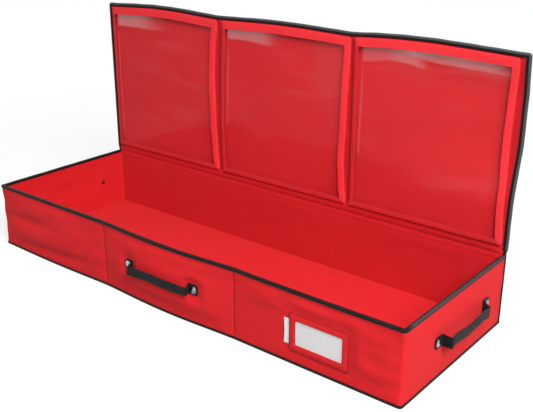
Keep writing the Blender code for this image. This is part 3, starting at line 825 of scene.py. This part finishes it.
def liningFloor():
    # the floor folds down a little at each seam between two boards
    reachX, reachY, level = lining["floor"]

    def pointAt(x, share):
        y = mix(-reachY - bow(x, 0.004), reachY, share)
        calm = within(share, 0.0, 0.06, 0.94, 1.0) * ease(0.0, 0.012, 0.512 - abs(x))
        lift = lining["floorWave"] * abs(ripple(x, y, 0.0, 0.09, 21.0))
        lift += sum(depth * nearSeams(x, wide) for depth, wide in lining["floorSeams"])
        return Vector((x, y, level + lift * calm))

    columns = withSeams(steps(-reachX, reachX, 0.01), [0.0015, 0.003, 0.006])
    rows = [[pointAt(x, share) for x in columns] for share in evenly(0.0, 1.0, 34)]
    piece = sheetPiece("lining_floor", rows, flatOf(rows, 0, 1), walls["liningThickness"],
                       "innerCloth", "box")


def bottomCloth():
    reachX, reachY = underside["reach"]
    depth, wide = underside["dip"]
    columns = withSeams(steps(-reachX, reachX, 0.012), [0.0015, 0.003])
    rows = [[Vector((x, mix(-reachY - bow(x, 0.0), reachY, share), depth * nearSeams(x, wide)))
             for x in columns] for share in evenly(1.0, 0.0, 24)]
    piece = sheetPiece("bottom_cloth", rows, flatOf(rows, 0, 1), underside["thickness"],
                       "outerCloth", "box", ["bottom_cover"])


liningWalls()
liningFloor()
bottomCloth()
print("lining and underside made")


# the lid's shape

lid = {
    "halfLength": 0.518, "straight": 0.513, "edge": 0.5025, "cornerRadius": 0.005,
    # the swelling of the free edge, by panel
    "crowns": (0.0063, 0.0042, 0.0062), "crownSkews": (1.0, 1.0, 0.8),
    # how far the right end leans back, and how far its edge stands out by height
    "bow": 0.0102, "leanAlong": (0.2, 0.5), "leanUp": (0.215, 0.352), "leanLess": 0.7,
    "leanTop": (0.42, 0.505), "edgeSpan": (0.4, 0.5), "riseFrom": 0.2,
    "rightEdge": ((0.245, 0.0), (0.36, 0.0028), (0.505, 0.0028)),
    # the outer cloth: its turn from wall to lid, puffs, ripples, groove and draw at the seams
    "turn": 0.143, "wallPuff": 0.0012, "puff": 0.0014, "ripple": 0.0008,
    "puffed": (0.147, 0.355), "calmEnds": (0.0, 0.02, 0.48, 0.5),
    "groove": (0.0014, 0.0012), "drawn": (0.0005, 0.008),
    # the inner cloth: half length on the wall, inset, thickness, and how close its rows lie
    "low": 0.511, "inset": 0.0044, "thickness": 0.0006, "widens": (0.139, 0.152),
    "rows": ((0.132, 0.1375, 0.0014), (0.138, 0.143, 0.0004), (0.1438, 0.162, 0.0009),
             (0.165, 0.5025, 0.0042)),
    # its roll and crease below the pockets, and how far it is drawn in over each panel
    "roll": 0.0026, "rollRows": (0.14, 0.149, 0.156, 0.1592), "rollEnds": (0.496, 0.509),
    "crease": (0.0006, 0.1404, 0.001), "foldIn": (0.0006, 0.139, 0.15),
    "panelRows": (0.152, 0.175, 0.485, 0.5), "panelEnds": (0.5, 0.516), "inward": 0.0007,
    "innerRipple": 0.001, "innerSeam": (0.0009, 0.0025),
    "boards": {"left": (-0.515, -0.1757), "middle": (-0.1697, 0.1697), "right": (0.1757, 0.515)},
    "boardFoot": 0.1473, "boardInset": 0.0033,
}


def lidTop(x):
    index, along = panelPlace(x * halfX / lid["straight"])
    crown = lid["crowns"][index] * hump(along ** lid["crownSkews"][index], walls["bowSharpness"])
    radius = lid["cornerRadius"]
    beyond = min(max(abs(x) - lid["straight"], 0.0), radius)
    return lid["edge"] + crown - (radius - math.sqrt(radius ** 2 - beyond ** 2))


def lidBow(x, z):
    # the lid's right end leans back above its middle, and less so at its free edge
    lean = ease(*lid["leanAlong"], x) * ease(*lid["leanUp"], z)
    return lid["bow"] * (lean * (1 - lid["leanLess"] * ease(*lid["leanTop"], z)))


def edgeOut(x, level):
    # the right edge stands out a little, by height
    return x + ease(*lid["edgeSpan"], x) * through(lid["rightEdge"], level)


def lidPlace(x, level):
    # where a point of the flat lid lies once its edges have swelled
    rise = (lidTop(x) - lid["edge"]) * ease(lid["riseFrom"], lid["edge"], level)
    return edgeOut(x, level), level + rise


def lidColumns(half, size):
    inner = withSeams(steps(-lid["straight"], lid["straight"], size), [0.0008, 0.0016, 0.003])
    turn = [mix(lid["straight"], half, sine) for _, sine in arc(0, 90, 3)[1:]]
    return [-x for x in reversed(turn)] + inner + turn


def lidSheet(name, levels, low, inset, thickness, waves, way, look, stands):
    # one cloth from below the hinge to the free edge; way is -1 where it faces back

    def pointAt(x, level):
        drawn = x * mix(low / lid["halfLength"], 1.0, ease(*lid["widens"], level))
        x2, z = lidPlace(drawn, level)
        return Vector((x2, halfY - inset + lidBow(x2, z) + waves(x2, z), z))

    columns = lidColumns(lid["halfLength"], 0.008)[::way]
    rows = [[pointAt(x, level) for x in columns] for level in levels]
    piece = sheetPiece(name, rows, flatOf(rows, 0, 2), thickness, look, None, stands)
    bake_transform(piece)
    return piece


def backWaves(x, z):
    puffed = hump(panelPlace(x)[1], wallShape["puffPower"])
    waved = lid["ripple"] * abs(ripple(x, 0.0, 1.4 * z, 0.06, 31.0))
    if z < lid["turn"]:
        out = lid["wallPuff"] * puffed * hump(clamp(z / walls["height"])) + waved
        out *= bound(z)
    else:
        low, tall = lid["puffed"]
        out = lid["puff"] * puffed * hump(clamp((z - low) / tall))
        out += waved * bound(min(z - walls["height"], 0.07))
    drawn = sum(depth * nearSeams(x, wide) for depth, wide in (lid["groove"], lid["drawn"]))
    return out - within(z, *lid["calmEnds"]) * drawn


def innerWaves(x, z):
    # a low roll from the top of the wall to the pockets' foot, creased below
    roll = within(z, *lid["rollRows"]) * (1 - ease(*lid["rollEnds"], abs(x)))
    deep, *place = lid["crease"]
    creased = deep * bell(z, *place) - lid["roll"] * roll
    if z < lid["panelRows"][0]:
        deep, *fold = lid["foldIn"]
        return creased - deep * (1 - ease(*fold, z))
    fade = within(z, *lid["panelRows"]) * (1 - ease(*lid["panelEnds"], abs(x)))
    inward = lid["inward"] * hump(panelPlace(x)[1])
    inward += lid["innerRipple"] * abs(ripple(x, 0.0, 1.5 * z, 0.05, 41.0))
    deep, wide = lid["innerSeam"]
    return creased + (deep * nearSeams(x, wide) - inward) * fade


def lidCloths():
    levels = steps(walls["foot"], lid["edge"], walls["rows"])
    piece = lidSheet("back_and_lid_cloth", levels, halfX, 0.0,
                     walls["clothThickness"], backWaves, -1, "outerCloth",
                     ["back_wall_cover", "lid_outer_cover"])
    levels = [level for span in lid["rows"] for level in steps(*span)]
    piece = lidSheet("lid_inner_cloth", levels, lid["low"], lid["inset"], lid["thickness"],
                     innerWaves, 1, "lidCloth", ["lid_lining", "lid_hinge_fold"])


def lidStiffener(name, low, high):
    y = halfY - lid["boardInset"]
    rows = [[Vector((x, y + lidBow(x, z), z))
             for x, z in (lidPlace(x, level) for x in steps(low, high, 0.015))]
            for level in steps(lid["boardFoot"], lid["edge"], 0.012)]
    sheetPiece("lid_stiffener_" + name, rows, flatOf(rows, 0, 2), walls["boardThickness"],
               "board", "lid", ["lid_board_" + name])


for name, span in lid["boards"].items():
    lidStiffener(name, *span)
lidCloths()
print("lid cloth made")


# black tape over every edge

# a leg is how far the tape reaches down a side; the gap and reach are from the edge it covers
tape = {
    "thickness": 0.001, "gap": 0.0003, "reach": 0.0013, "wall": 0.0044, "puff": 0.0003,
    "wave": 0.0005, "edge": (0.0004, 0.0008),
    "rimLeg": 0.0056, "baseLeg": 0.0055, "lidLeg": 0.008, "hingeLeg": 0.0065,
    # its stitches: thickness, pitch, and how far they lie from the end of a leg
    "stitch": 0.0006, "pitch": 0.0042, "stitchIn": 0.0013, "lidStitchIn": 0.0015,
}


def hookSection(leg):
    # tape folded over an edge, as (outwards, across): rounded, with soft edges to its two legs
    gap, puff = tape["gap"], tape["puff"]
    half = tape["wall"] / 2 + gap
    outer = half + tape["thickness"]
    foot, (low, soft) = tape["reach"] - leg, tape["edge"]
    legs = [(foot, outer - low), (foot + soft, outer + puff * 0.6), (foot / 2, outer + puff)]
    crown = [(gap + tape["thickness"] * cosine, outer * sine) for cosine, sine in arc(90, -180, 8)]
    return (legs + crown + [(a, -b) for a, b in reversed(legs)]
            + [(foot, -half), (gap, -half), (gap, half), (foot, half)])


def cornerSection(leg, puff):
    # tape round a square edge, one leg on each side of it
    gap, thick, reach = tape["gap"], tape["thickness"], tape["reach"]
    foot, (low, soft) = reach - leg, tape["edge"]
    legs = [(foot, reach - low), (foot + soft, reach + puff * 0.5), (foot / 2, reach + puff)]
    crown = [(gap + thick * math.cos(math.radians(a)), gap + thick * math.sin(math.radians(a)))
             for a in (90, 67, 45, 22, 0)]
    return (legs + crown + [(b, a) for a, b in reversed(legs)]
            + [(gap, foot), (gap, gap), (foot, gap)])


def tapeAlong(name, stations, section, seed, look, body, stands=()):
    # a station is a place on the edge and the section's two directions there
    rings = []
    for place, first, second in stations:
        shift = tape["wave"] * ripple(place.x, place.y, place.z, 0.03, seed)
        rings.append([place + first * (a + (shift if a > 0 else 0.0)) + second * (b + shift * 0.5)
                      for a, b in section])
    finishPiece(sweep(name, rings, section), look, body, stands)


def tapeStitches(name, path, body="box"):
    stitchRow(name, path, tape["stitch"], tape["pitch"], "blackThread", body)


def legStitches(stations, level, sides, body):
    # a row of stitches on each leg of a folded tape
    off = tape["wall"] / 2 + tape["gap"] + tape["thickness"] + tape["puff"]
    for name, sign in sides.items():
        tapeStitches(name, [(place + first * level + second * sign * off, second * sign)
                            for place, first, second in stations], body)


def rimTape():
    backY = halfY - tape["wall"] - tape["gap"]
    stations = [(wallPoint(x, y, n, walls["top"], tape["wall"] / 2), up, n)
                for x, y, n in sidePath(backY, [])]
    tapeAlong("rim_tape", stations, hookSection(tape["rimLeg"]), 51.0, "rimTape", "box",
              ["rim_binding"])
    legStitches(stations, tape["reach"] - tape["rimLeg"] + tape["stitchIn"],
                {"rim_stitches_outer": 1, "rim_stitches_inner": -1}, "box")


def baseTape():
    stations = [(wallPoint(x, y, n, walls["foot"], 0.0), n, -up)
                for x, y, n in sidePath(halfY, [])[1:-1]]
    corner = Vector((halfX, halfY, walls["foot"]))
    stations.append((corner, right + back, -up))
    stations += [(Vector((x, corner.y, corner.z)), back, -up)
                 for x in reversed(steps(-0.51, 0.51, 0.02))]
    stations.append((Vector((-corner.x, corner.y, corner.z)), back - right, -up))
    section = cornerSection(tape["baseLeg"], 0.0001)
    rings = [[p + a * s + b * t for s, t in section] for p, a, b in stations]
    finishPiece(sweep("base_tape", rings, section, wrap=True), "edgeTape", "box", ["base_binding"])
    level = tape["baseLeg"] - tape["reach"] - tape["stitchIn"]
    path = [(place + first * (tape["reach"] + 0.00005) + up * level, first.normalized())
            for place, first, _ in stations]
    tapeStitches("base_stitches", path + path[:1])


def cornerTapes():
    out, level = tape["reach"] + tape["puff"], tape["reach"] - tape["baseLeg"] + tape["stitchIn"]
    for name, side in (("left", -right), ("right", right)):
        corner = side * halfX + back * halfY
        stations = [(corner + up * z, side, back) for z in steps(0.0058, 0.1385, 0.006)]
        tapeAlong("back_corner_tape_" + name, stations,
                  cornerSection(tape["baseLeg"], tape["puff"]), 55.0, "edgeTape", "box",
                  ["back_corner_binding_" + name])
        for word, facing, along in (("end", side, back), ("back", back, side)):
            tapeStitches("corner_stitches_%s_%s" % (name, word),
                         [(place + facing * out + along * level, facing)
                          for place, _, _ in stations])


def lidEdgeStations():
    # up the left end, along the free edge and down the right end
    half = halfY - tape["wall"] / 2
    centre = Vector((lid["straight"], half, lid["edge"] - lid["cornerRadius"]))
    turns = [Vector((sine, 0, cosine)) for sine, cosine in arc(90, -90, 8)]
    rightSide = [(centre + turn * lid["cornerRadius"], turn) for turn in turns]
    rightSide += [(Vector((lid["halfLength"], half, z)), right)
                  for z in steps(0.491, 0.1493, 0.008)]
    flip = Matrix.Scale(-1, 3, right)
    leftSide = [(flip @ p, flip @ t) for p, t in reversed(rightSide)]
    top = [(Vector((x, half, lid["edge"])), up.copy()) for x in steps(-0.5075, 0.5075, 0.0075)]
    found = []
    for place, outward in leftSide + top + rightSide:
        x, z = edgeOut(place.x, place.z), lidTop(place.x) if outward.z > 0.999 else place.z
        found.append((Vector((x, half + lidBow(x, z), z)), outward, back))
    return found


def lidTape():
    stations = lidEdgeStations()
    tapeAlong("lid_tape", stations, hookSection(tape["lidLeg"]), 61.0, "lidTape", "lid",
              ["lid_binding"])
    legStitches(stations, tape["reach"] - tape["lidLeg"] + tape["lidStitchIn"],
                {"lid_stitches_back": 1, "lid_stitches_inside": -1}, "lid")


def hingeTapes():
    # the same tape carried on across the hinge at each end
    section = [(a * 0.8, b * 0.92) for a, b in hookSection(tape["hingeLeg"])]
    y = halfY - tape["wall"] / 2
    for name, side in (("left", -right), ("right", right)):
        rings = []
        for z in steps(0.1375, 0.1515, 0.001):
            reach = mix(halfX, lid["halfLength"], ease(0.139, 0.15, z)) - 0.0004
            place = Vector((side.x * reach, y, z))
            rings.append([place + side * a + back * b for a, b in section])
        piece = finishPiece(sweep("hinge_tape_" + name, rings, section), "edgeTape")
        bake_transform(piece)


rimTape()
baseTape()
cornerTapes()
lidTape()
hingeTapes()
print("tapes made")


# rivets: a domed cap outside, and a flat disc inside that holds its post

rivets = {
    "sides": 40, "post": 0.002,
    # node, distance out of the wall, then radius, rim, inward steps with their rises, and post
    "cap": ("_rivet_", 0.0024, 0.0075, 0.0006,
            ((0.0006, 0.0002), (0.0009, 0.0006), (0.0016, 0.0005), (0.0018, 0.0003),
             (0.0014, 0.0001)), 0.006),
    "disc": ("_rivet_back_", -0.0049, 0.0055, 0.0008,
             ((0.0004, 0.0003), (0.001, 0.0003), (0.0018, 0.0002)), 0.0005),
}


def pickUnderside(piece):
    bpy.ops.mesh.select_mode(type="FACE")
    bpy.ops.mesh.select_all(action="DESELECT")
    shape = bmesh.from_edit_mesh(piece.data)
    for face in shape.faces:
        face.select_set(abs(face.normal.z) > 0.9 and face.calc_center_median().z < 0.00001)
    bmesh.update_edit_mesh(piece.data)


def turnedCap(name, radius, rim, rises, postLength):
    # a round cap lying on the floor plane, its dome upwards and its post below
    pick()
    bpy.ops.mesh.primitive_circle_add(vertices=rivets["sides"], radius=radius, fill_type="NGON")
    piece = bpy.context.object
    piece.name = name
    bpy.ops.object.mode_set(mode="EDIT")
    bpy.ops.mesh.extrude_region_move(TRANSFORM_OT_translate={"value": (0, 0, rim)})
    for inward, rise in rises:
        bpy.ops.mesh.inset(thickness=inward)
        bpy.ops.transform.translate(value=(0, 0, rise))
    pickUnderside(piece)
    bpy.ops.mesh.inset(thickness=radius - rivets["post"])
    bpy.ops.mesh.extrude_region_move(TRANSFORM_OT_translate={"value": (0, 0, -postLength)})
    bpy.ops.object.mode_set(mode="OBJECT")
    faceOut(piece)
    return piece


def rivetPair(handle, side, place, outward):
    # each is made on the floor plane, then stood on the wall
    for part in ("cap", "disc"):
        node, away, *shape = rivets[part]
        piece = turnedCap("%s_rivet_%s_%s" % (handle, part, side), *shape)
        facing = outward if away > 0 else -outward
        turn = facing.to_track_quat("Z", "Y").to_matrix().to_4x4()
        piece.matrix_world = Matrix.Translation(place + outward * away) @ turn
        pick(piece)
        bpy.ops.object.transform_apply(location=True, rotation=True, scale=True)
        finishPiece(piece, "steel", "box", [handle + node + side], degrees=50)


# webbing handles

webbing = {
    "width": 0.022, "thickness": 0.0018, "span": 0.088, "riser": 0.078, "tabEnd": 0.0975,
    "gap": 0.0003, "standOff": 0.026, "footBend": 0.0026, "arch": 0.0006, "height": 0.071,
    "bevel": 0.0006, "swellMost": 0.0038,
    # the ends are rounded off: share of the width, by steps from an end
    "cut": ((0, 0.74), (1, 0.9), (2, 1.0)),
}
# by place along the strap: how far it hangs, how many degrees its top leans out, its share of the
# stand-off, and how far its top is drawn along; spread is how far its bends lean over the rivets
frontShape = {
    "bend": 0.0045, "spread": 0.055,
    "sags": ((-0.078, 0.005), (-0.02, 0.0022), (0.03, 0.003), (0.078, 0.0012)),
    "twists": ((-0.078, 2.0), (-0.03, 12.0), (0.03, 10.0), (0.078, 18.0)),
    "reaches": ((-0.078, 0.56), (0.0, 0.62), (0.078, 0.62)),
    "skews": ((-0.078, 0.36), (-0.05, 0.0)),
}
endShape = {
    "bend": 0.003, "spread": 0.02,
    "sags": ((-0.077, 0.0), (-0.066, -0.005), (-0.015, 0.0012), (0.035, 0.0004),
             (0.078, 0.0085)),
    "twists": ((-0.078, 4.0), (0.01, 8.0), (0.078, 2.0)),
    "reaches": ((-0.078, 0.87), (0.02, 0.78), (0.078, 0.56)),
    "skews": ((-0.078, 0.0), (0.078, 0.0)),
}
handles = {
    # middle, along, outward, a point of the wall at floor level, start and end of the strap's
    # bend, and its shape
    "front": (-0.008, right, front, Vector((0, -0.177, 0)),
              (0, -0.1835, 0.071), (0, -0.191, 0.071), frontShape),
    "right": (0.019, back, right, Vector((0.516, 0, 0)),
              (0.5205, 0, 0.071), (0.53, 0, 0.071), endShape),
    "left": (-0.019, front, -right, Vector((-0.516, 0, 0)),
             (-0.5205, 0, 0.071), (-0.53, 0, 0.071), endShape),
}


def handleLine(bend):
    # half the strap's centre line, from its end on the wall to the middle of the loop
    out = webbing["gap"] + webbing["thickness"] / 2
    foot, riser = webbing["footBend"], -webbing["riser"]
    path = [(x, out) for x in evenly(-webbing["tabEnd"], riser + 0.0013, 8)]
    path += [(riser + foot * cosine, out + foot + foot * sine)
             for cosine, sine in arc(-90, 90, 5)[1:]]
    x, low = path[-1]
    top = webbing["standOff"] - webbing["thickness"] / 2
    path += [(x, height) for height in evenly(low, top - bend, 5)[1:]]
    path += [(x + bend + bend * cosine, top - bend + bend * sine)
             for cosine, sine in arc(180, -90, 6)[1:]]
    start = path[-1][0]
    return path + [(mix(start, 0.0, share), top + webbing["arch"] * hump(share / 2))
                   for share in evenly(0.0, 1.0, 12)[1:]]


def strapSection(cut):
    wide, thick, bevel = webbing["width"] / 2 * cut, webbing["thickness"] / 2, webbing["bevel"]
    half = [(-wide, -thick * 0.4), (-wide + bevel, -thick), (0.0, -thick * 1.06),
            (wide - bevel, -thick), (wide, -thick * 0.4)]
    return half + [(-a, -b) for a, b in half]


def handleStrap(name, centre, alongWall, outward, origin, start, end, shape):
    # one strap of webbing: flat on the wall, out, along and back to the wall
    half = handleLine(shape["bend"])
    path = half + [(-x, out) for x, out in reversed(half[:-1])]
    last = len(path) - 1
    rings = []
    for at, (x, out) in enumerate(path):
        before, after = path[max(at - 1, 0)], path[min(at + 1, last)]
        tangent = Vector((after[0] - before[0], after[1] - before[1])).normalized()
        loose = ease(0.004, 0.02, out)
        sag = -loose * through(shape["sags"], x)
        twist = math.radians(through(shape["twists"], x)) * loose
        flatOut = min(out, path[0][1])
        reach = flatOut + (out - flatOut) * through(shape["reaches"], x)
        if name == "front":
            swell = bow(centre + x, webbing["height"])
            reach += min(swell, webbing["swellMost"]) if abs(x) < 0.08 else swell
        place = origin + alongWall * (centre + x * (1 + shape["spread"] * loose))
        base = place + outward * reach + up * (webbing["height"] + sag)
        normal = outward * tangent.x - alongWall * tangent.y
        skewed = up + alongWall * through(shape["skews"], x) * loose
        side = (skewed * math.cos(twist) + normal * math.sin(twist)).normalized()
        face = (normal * math.cos(twist) - up * math.sin(twist)).normalized()
        section = strapSection(through(webbing["cut"], min(at, last - at)))
        rings.append([base + side * a + face * b for a, b in section])
    nodes = [name + "_handle_" + part for part in ("strap", "tab_left", "tab_right")]
    piece = finishPiece(sweep(name + "_handle_webbing", rings, section), "webbing", None, nodes)
    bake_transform(piece)


def handleRivets(name, side, sign):
    # the front's lean with the bowed wall that they are driven through
    centre, alongWall, outward, origin, *_ = handles[name]
    z = webbing["height"]
    place = origin + alongWall * (centre + sign * webbing["span"]) + up * z
    if name == "front":
        x = place.x
        place += outward * bow(x, z)
        outward = Vector(((bow(x - 0.01, z) - bow(x + 0.01, z)) / 0.02, -1.0,
                          (bow(x, z - 0.01) - bow(x, z + 0.01)) / 0.02)).normalized()
    rivetPair(name + "_handle", side, place, outward)


for name, values in handles.items():
    handleStrap(name, *values)
for side, sign in (("left", -1), ("right", 1)):
    for name in handles:
        handleRivets(name, side, sign)
print("handles made")


# framed windows: one way for the label holder and the three pockets

def roundedLoop(bounds, inset, radius, counts):
    # points round an upright rectangle, the same count for every nested one
    startX, endX, low, high = (value + inset * way for value, way in zip(bounds, (1, -1, 1, -1)))
    corners = ((endX - radius, high - radius, 0), (startX + radius, high - radius, 90),
               (startX + radius, low + radius, 180), (endX - radius, low + radius, 270))
    turns = [[(x + radius * cosine, z + radius * sine) for cosine, sine in arc(start, 90, 5)]
             for x, z, start in corners]
    loop = []
    for at, turn in enumerate(turns):
        (x, z), (nextX, nextZ), count = turn[-1], turns[(at + 1) % 4][0], counts[at % 2]
        loop += turn + list(zip(evenly(x, nextX, count)[1:-1], evenly(z, nextZ, count)[1:-1]))
    return loop


def framed(name, shape, bounds, placeAt, openness, seed):
    # a flat border swept round a window; placeAt gives x, y and z on the carrying plane
    section, (outer, inner) = shape["section"], shape["radii"]
    border = max(a for a, _ in section)
    loops = {a: roundedLoop(bounds, a, mix(outer, inner, a / border), shape["counts"])
             for a, _ in section}
    rings = []
    for at, place in enumerate(loops[0.0]):
        closed = openness(*place)
        ring = []
        for a, b in section:
            x, z = loops[a][at]
            onFace = b < 0.003  # the rest is sewn down
            depth = b if onFace else mix(0.0018, b, closed)
            drift = shape["wobble"] * ripple(x, a * 3, z, 0.05, seed + 9)
            dent = shape["wobble"] * abs(ripple(x, a * 3, z, 0.035, seed)) if onFace else 0.0
            x2, y, z2 = placeAt(x, z)
            ring.append(Vector((x2 + drift, y - shape["face"] + depth - dent, z2 + drift * 0.6)))
        rings.append(ring)
    return sweep(name, rings, section, wrap=True)


# the border's section is (inwards, depth); a sheet's size and middle are as seen from the front
label = {
    "bounds": (0.2975, 0.4185, 0.027, 0.099), "face": 0.0025, "radii": (0.003, 0.0015),
    "counts": (14, 9), "wobble": 0.0003, "stitchRadius": 0.002, "stitch": 0.0005,
    "pitch": 0.0032, "stitchFace": 0.0024, "stitchRows": {"outer": 0.0026, "inner": 0.0096},
    "section": ((0.0, 0.0032), (0.0, 0.0008), (0.0004, 0.0003), (0.0016, 0.0000),
                (0.0026, 0.0009), (0.0036, 0.0001), (0.007, 0.0000), (0.011, 0.0001),
                (0.013, 0.0002), (0.0134, 0.0006), (0.0131, 0.0011), (0.009, 0.0011),
                (0.009, 0.0032)),
    "film": {"counts": (22, 14), "size": (0.111, 0.053), "middle": (0.3536, -0.1783, 0.063),
             "thickness": 0.0003, "puff": 0.0007, "wave": 0.0002},
    "card": {"counts": (24, 12), "size": (0.1227, 0.0474), "middle": (0.34785, -0.17755, 0.0624),
             "thickness": 0.0004, "worn": 0.0012, "curl": 0.0006, "askew": 0.018},
}


def uprightGrid(name, values):
    # a flat grid, turned upright and set on the front wall
    pick()
    wide, tall = values["counts"]
    bpy.ops.mesh.primitive_grid_add(x_subdivisions=wide, y_subdivisions=tall, size=1.0)
    piece = bpy.context.object
    piece.name = name
    bpy.ops.object.mode_set(mode="EDIT")
    bpy.ops.transform.resize(value=(*values["size"], 1.0))
    bpy.ops.transform.rotate(value=math.radians(90), orient_axis="X", center_override=(0, 0, 0))
    bpy.ops.transform.translate(value=values["middle"])
    bpy.ops.object.mode_set(mode="OBJECT")
    return piece


def thicken(piece, values, look, body, node, degrees):
    settle(piece, "SOLIDIFY", thickness=values["thickness"], offset=0.0)
    faceOut(piece)
    finishPiece(piece, look, body, [node], degrees)


def labelFrame():
    piece = framed("label_border", label, label["bounds"],
                   lambda x, z: (x, -halfY, z),
                   lambda x, z: ease(label["bounds"][0] + 0.0005, label["bounds"][0] + 0.003, x),
                   71.0)
    finishPiece(piece, "labelTape", "box", ["label_frame"])
    y = -halfY - label["stitchFace"]
    for word, inset in label["stitchRows"].items():
        loop = roundedLoop(label["bounds"], inset, label["stitchRadius"], label["counts"])
        path = [(Vector((x, y, z)), front) for x, z in loop]
        stitchRow("label_stitches_" + word, path + path[:1], label["stitch"], label["pitch"],
                  "redThread", "box")


def labelWindow():
    values = label["film"]
    piece = uprightGrid("label_film", values)
    for vertex in piece.data.vertices:
        x, _, z = vertex.co
        inside = within(x, 0.309, 0.325, 0.392, 0.406) * bell(z, 0.063, 0.016)
        waved = values["puff"] + values["wave"] * ripple(x, 0, z, 0.02, 5.0)
        vertex.co.y = values["middle"][1] - inside * waved
    thicken(piece, values, "labelFilm", "box", "label_window", 40)


def labelCard():
    # its left edge is worn a little hollow and curls out, and it sits a little askew
    values = label["card"]
    piece = uprightGrid("label_paper", values)
    for vertex in piece.data.vertices:
        x, _, z = vertex.co
        edge = 1 - ease(0.2865, 0.3, x)
        vertex.co.x += edge * values["worn"] * bell(z, 0.063, 0.018)
        vertex.co.y -= values["curl"] * edge * edge
        vertex.co.z += (x - 0.352) * values["askew"]
    thicken(piece, values, "card", "card", "label_card", 30)


labelFrame()
labelWindow()
labelCard()
print("label holder made")


# the lid's three window pockets

pockets = {
    "low": 0.1558, "high": 0.4894, "face": 0.0113, "filmY": 0.16725, "puff": 0.0018,
    "ripple": 0.0011, "mouthRise": 0.0052, "footRise": 0.0028, "footLean": 0.001,
    "border": 0.0112, "closedShare": 0.945, "filmThickness": 0.0003, "filmGrid": (44, 48),
    "filmInset": 0.0024, "filmShort": 0.0012, "filmDent": 0.0017, "radii": (0.0025, 0.0015),
    "counts": (34, 34), "wobble": 0.0008, "stitch": 0.0005, "pitch": 0.0036,
    "stitchInset": 0.0092, "stitchRadius": 0.002, "stitchFace": 0.0009,
    # the border slopes up from its outer edge to the window's edge
    "section": ((0.0, 0.0066), (0.0, 0.0026), (0.0005, 0.0017), (0.0016, 0.0012),
                (0.005, 0.0003), (0.0085, -0.0007), (0.01, -0.0009), (0.0108, -0.0014),
                (0.0112, -0.001), (0.0108, -0.0004), (0.004, 0.0014), (0.0022, 0.0026),
                (0.0018, 0.0066)),
}
# each pocket's two sides, and how far each side is drawn along, by height
pocketSides = {
    "left": (-0.5098, -0.1785, ((0.16, 0.004), (0.49, 0.005)),
             ((0.16, 0.0066), (0.2, 0.0022), (0.263, -0.0019), (0.367, -0.0045),
              (0.43, -0.0006), (0.489, 0.008))),
    "middle": (-0.1655, 0.1655,
               ((0.16, 0.0066), (0.2, 0.0044), (0.266, 0.0024), (0.344, 0.0034),
                (0.489, 0.01)),
               ((0.165, 0.0058), (0.2, 0.0008), (0.25, -0.0024), (0.342, 0.001),
                (0.489, 0.006))),
    "right": (0.1785, 0.5098, ((0.16, 0.003), (0.49, 0.003)),
              ((0.16, -0.0018), (0.24, -0.006), (0.355, -0.0104), (0.42, -0.009),
               (0.489, -0.0045))),
}


def pocketPlace(name):
    startX, endX, startDraw, endDraw = pocketSides[name]
    low, high = pockets["low"], pockets["high"]

    def placeAt(x, z):
        # its sides are drawn in or out, and it rises with the lid's free edge
        share = (x - startX) / (endX - startX)
        x2 = x + mix(through(startDraw, z), through(endDraw, z), share)
        z2 = lidPlace(x2, z)[1] + pockets["mouthRise"] * ease(high - 0.009, high, z)
        # its foot is sewn a little higher, and stands flatter than its sides
        z2 += pockets["footRise"] * (1 - ease(low + 0.015, low + 0.06, z))
        lean = pockets["footLean"] * max(1 - (z - low) / pockets["border"], 0.0)
        return x2, halfY + lidBow(x2, z2) - lean, z2

    return placeAt


def drawBack(piece):
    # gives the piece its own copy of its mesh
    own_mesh(piece)


def pocketFrame(name, seed):
    high = pockets["high"]
    bounds = (*pocketSides[name][:2], pockets["low"], high)
    placeAt = pocketPlace(name)
    piece = framed("pocket_border_" + name, pockets, bounds, placeAt,
                   lambda x, z: 1 - ease(high - 0.004, high - 0.001, z), seed)
    drawBack(finishPiece(piece, "frameTape", "lid", ["pocket_frame_" + name]))
    out = front * (pockets["face"] + pockets["stitchFace"])
    path = [(Vector(placeAt(x, z)) + out, front)
            for x, z in roundedLoop(bounds, pockets["stitchInset"], pockets["stitchRadius"],
                                    pockets["counts"])]
    drawBack(stitchRow("pocket_stitches_" + name, path + path[:1], pockets["stitch"],
                       pockets["pitch"], "redThread", "lid"))


def pocketSheet(name, seed):
    startX, endX, _, _ = pocketSides[name]
    placeAt = pocketPlace(name)
    wide, tall = pockets["filmGrid"]
    inset, low = pockets["filmInset"], pockets["low"]
    columns = evenly(startX + inset, endX - inset, wide)
    heights = evenly(low + inset, pockets["high"] - pockets["filmShort"], tall)

    def pointAt(u, v, x, z):
        rise = within(u, 0.0, 0.03, 0.97, 1.0) * within(v, 0.0, 0.03, 0.963, 0.985)
        calm = within(u, 0.03, 0.16, 0.84, 0.97) * within(v, 0.03, 0.14, 0.9, 0.98)
        out = pockets["puff"] * hump(u) * hump(v)
        out += pockets["ripple"] * ripple(x, 0.0, 1.5 * z, 0.09, seed)
        out += pockets["ripple"] * 0.6 * ripple(0.35 * x, 0.0, z, 0.03, seed + 2) * (1 - v)
        x2, y, z2 = placeAt(x, z)
        y += pockets["filmY"] - halfY - pockets["filmDent"] * rise - out * calm
        return Vector((x2, y, z2))

    rows = [[pointAt(c / wide, r / tall, x, z) for c, x in enumerate(columns)]
            for r, z in enumerate(heights)]
    flats = [[(x - startX, z - low) for x in columns] for z in heights]
    drawBack(sheetPiece("pocket_film_" + name, rows, flats, pockets["filmThickness"],
                        name + "Film", "lid", ["pocket_window_" + name], offset=0.0))


for at, name in enumerate(pocketSides):
    pocketFrame(name, 81.0 + 7 * at)
    pocketSheet(name, 91.0 + 7 * at)
print("pockets made")

for node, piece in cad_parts.items():
    if not piece.hide_render:
        piece.data.materials.clear()
        piece.data.materials.append(looks["board"])
        print("carried over:", node)
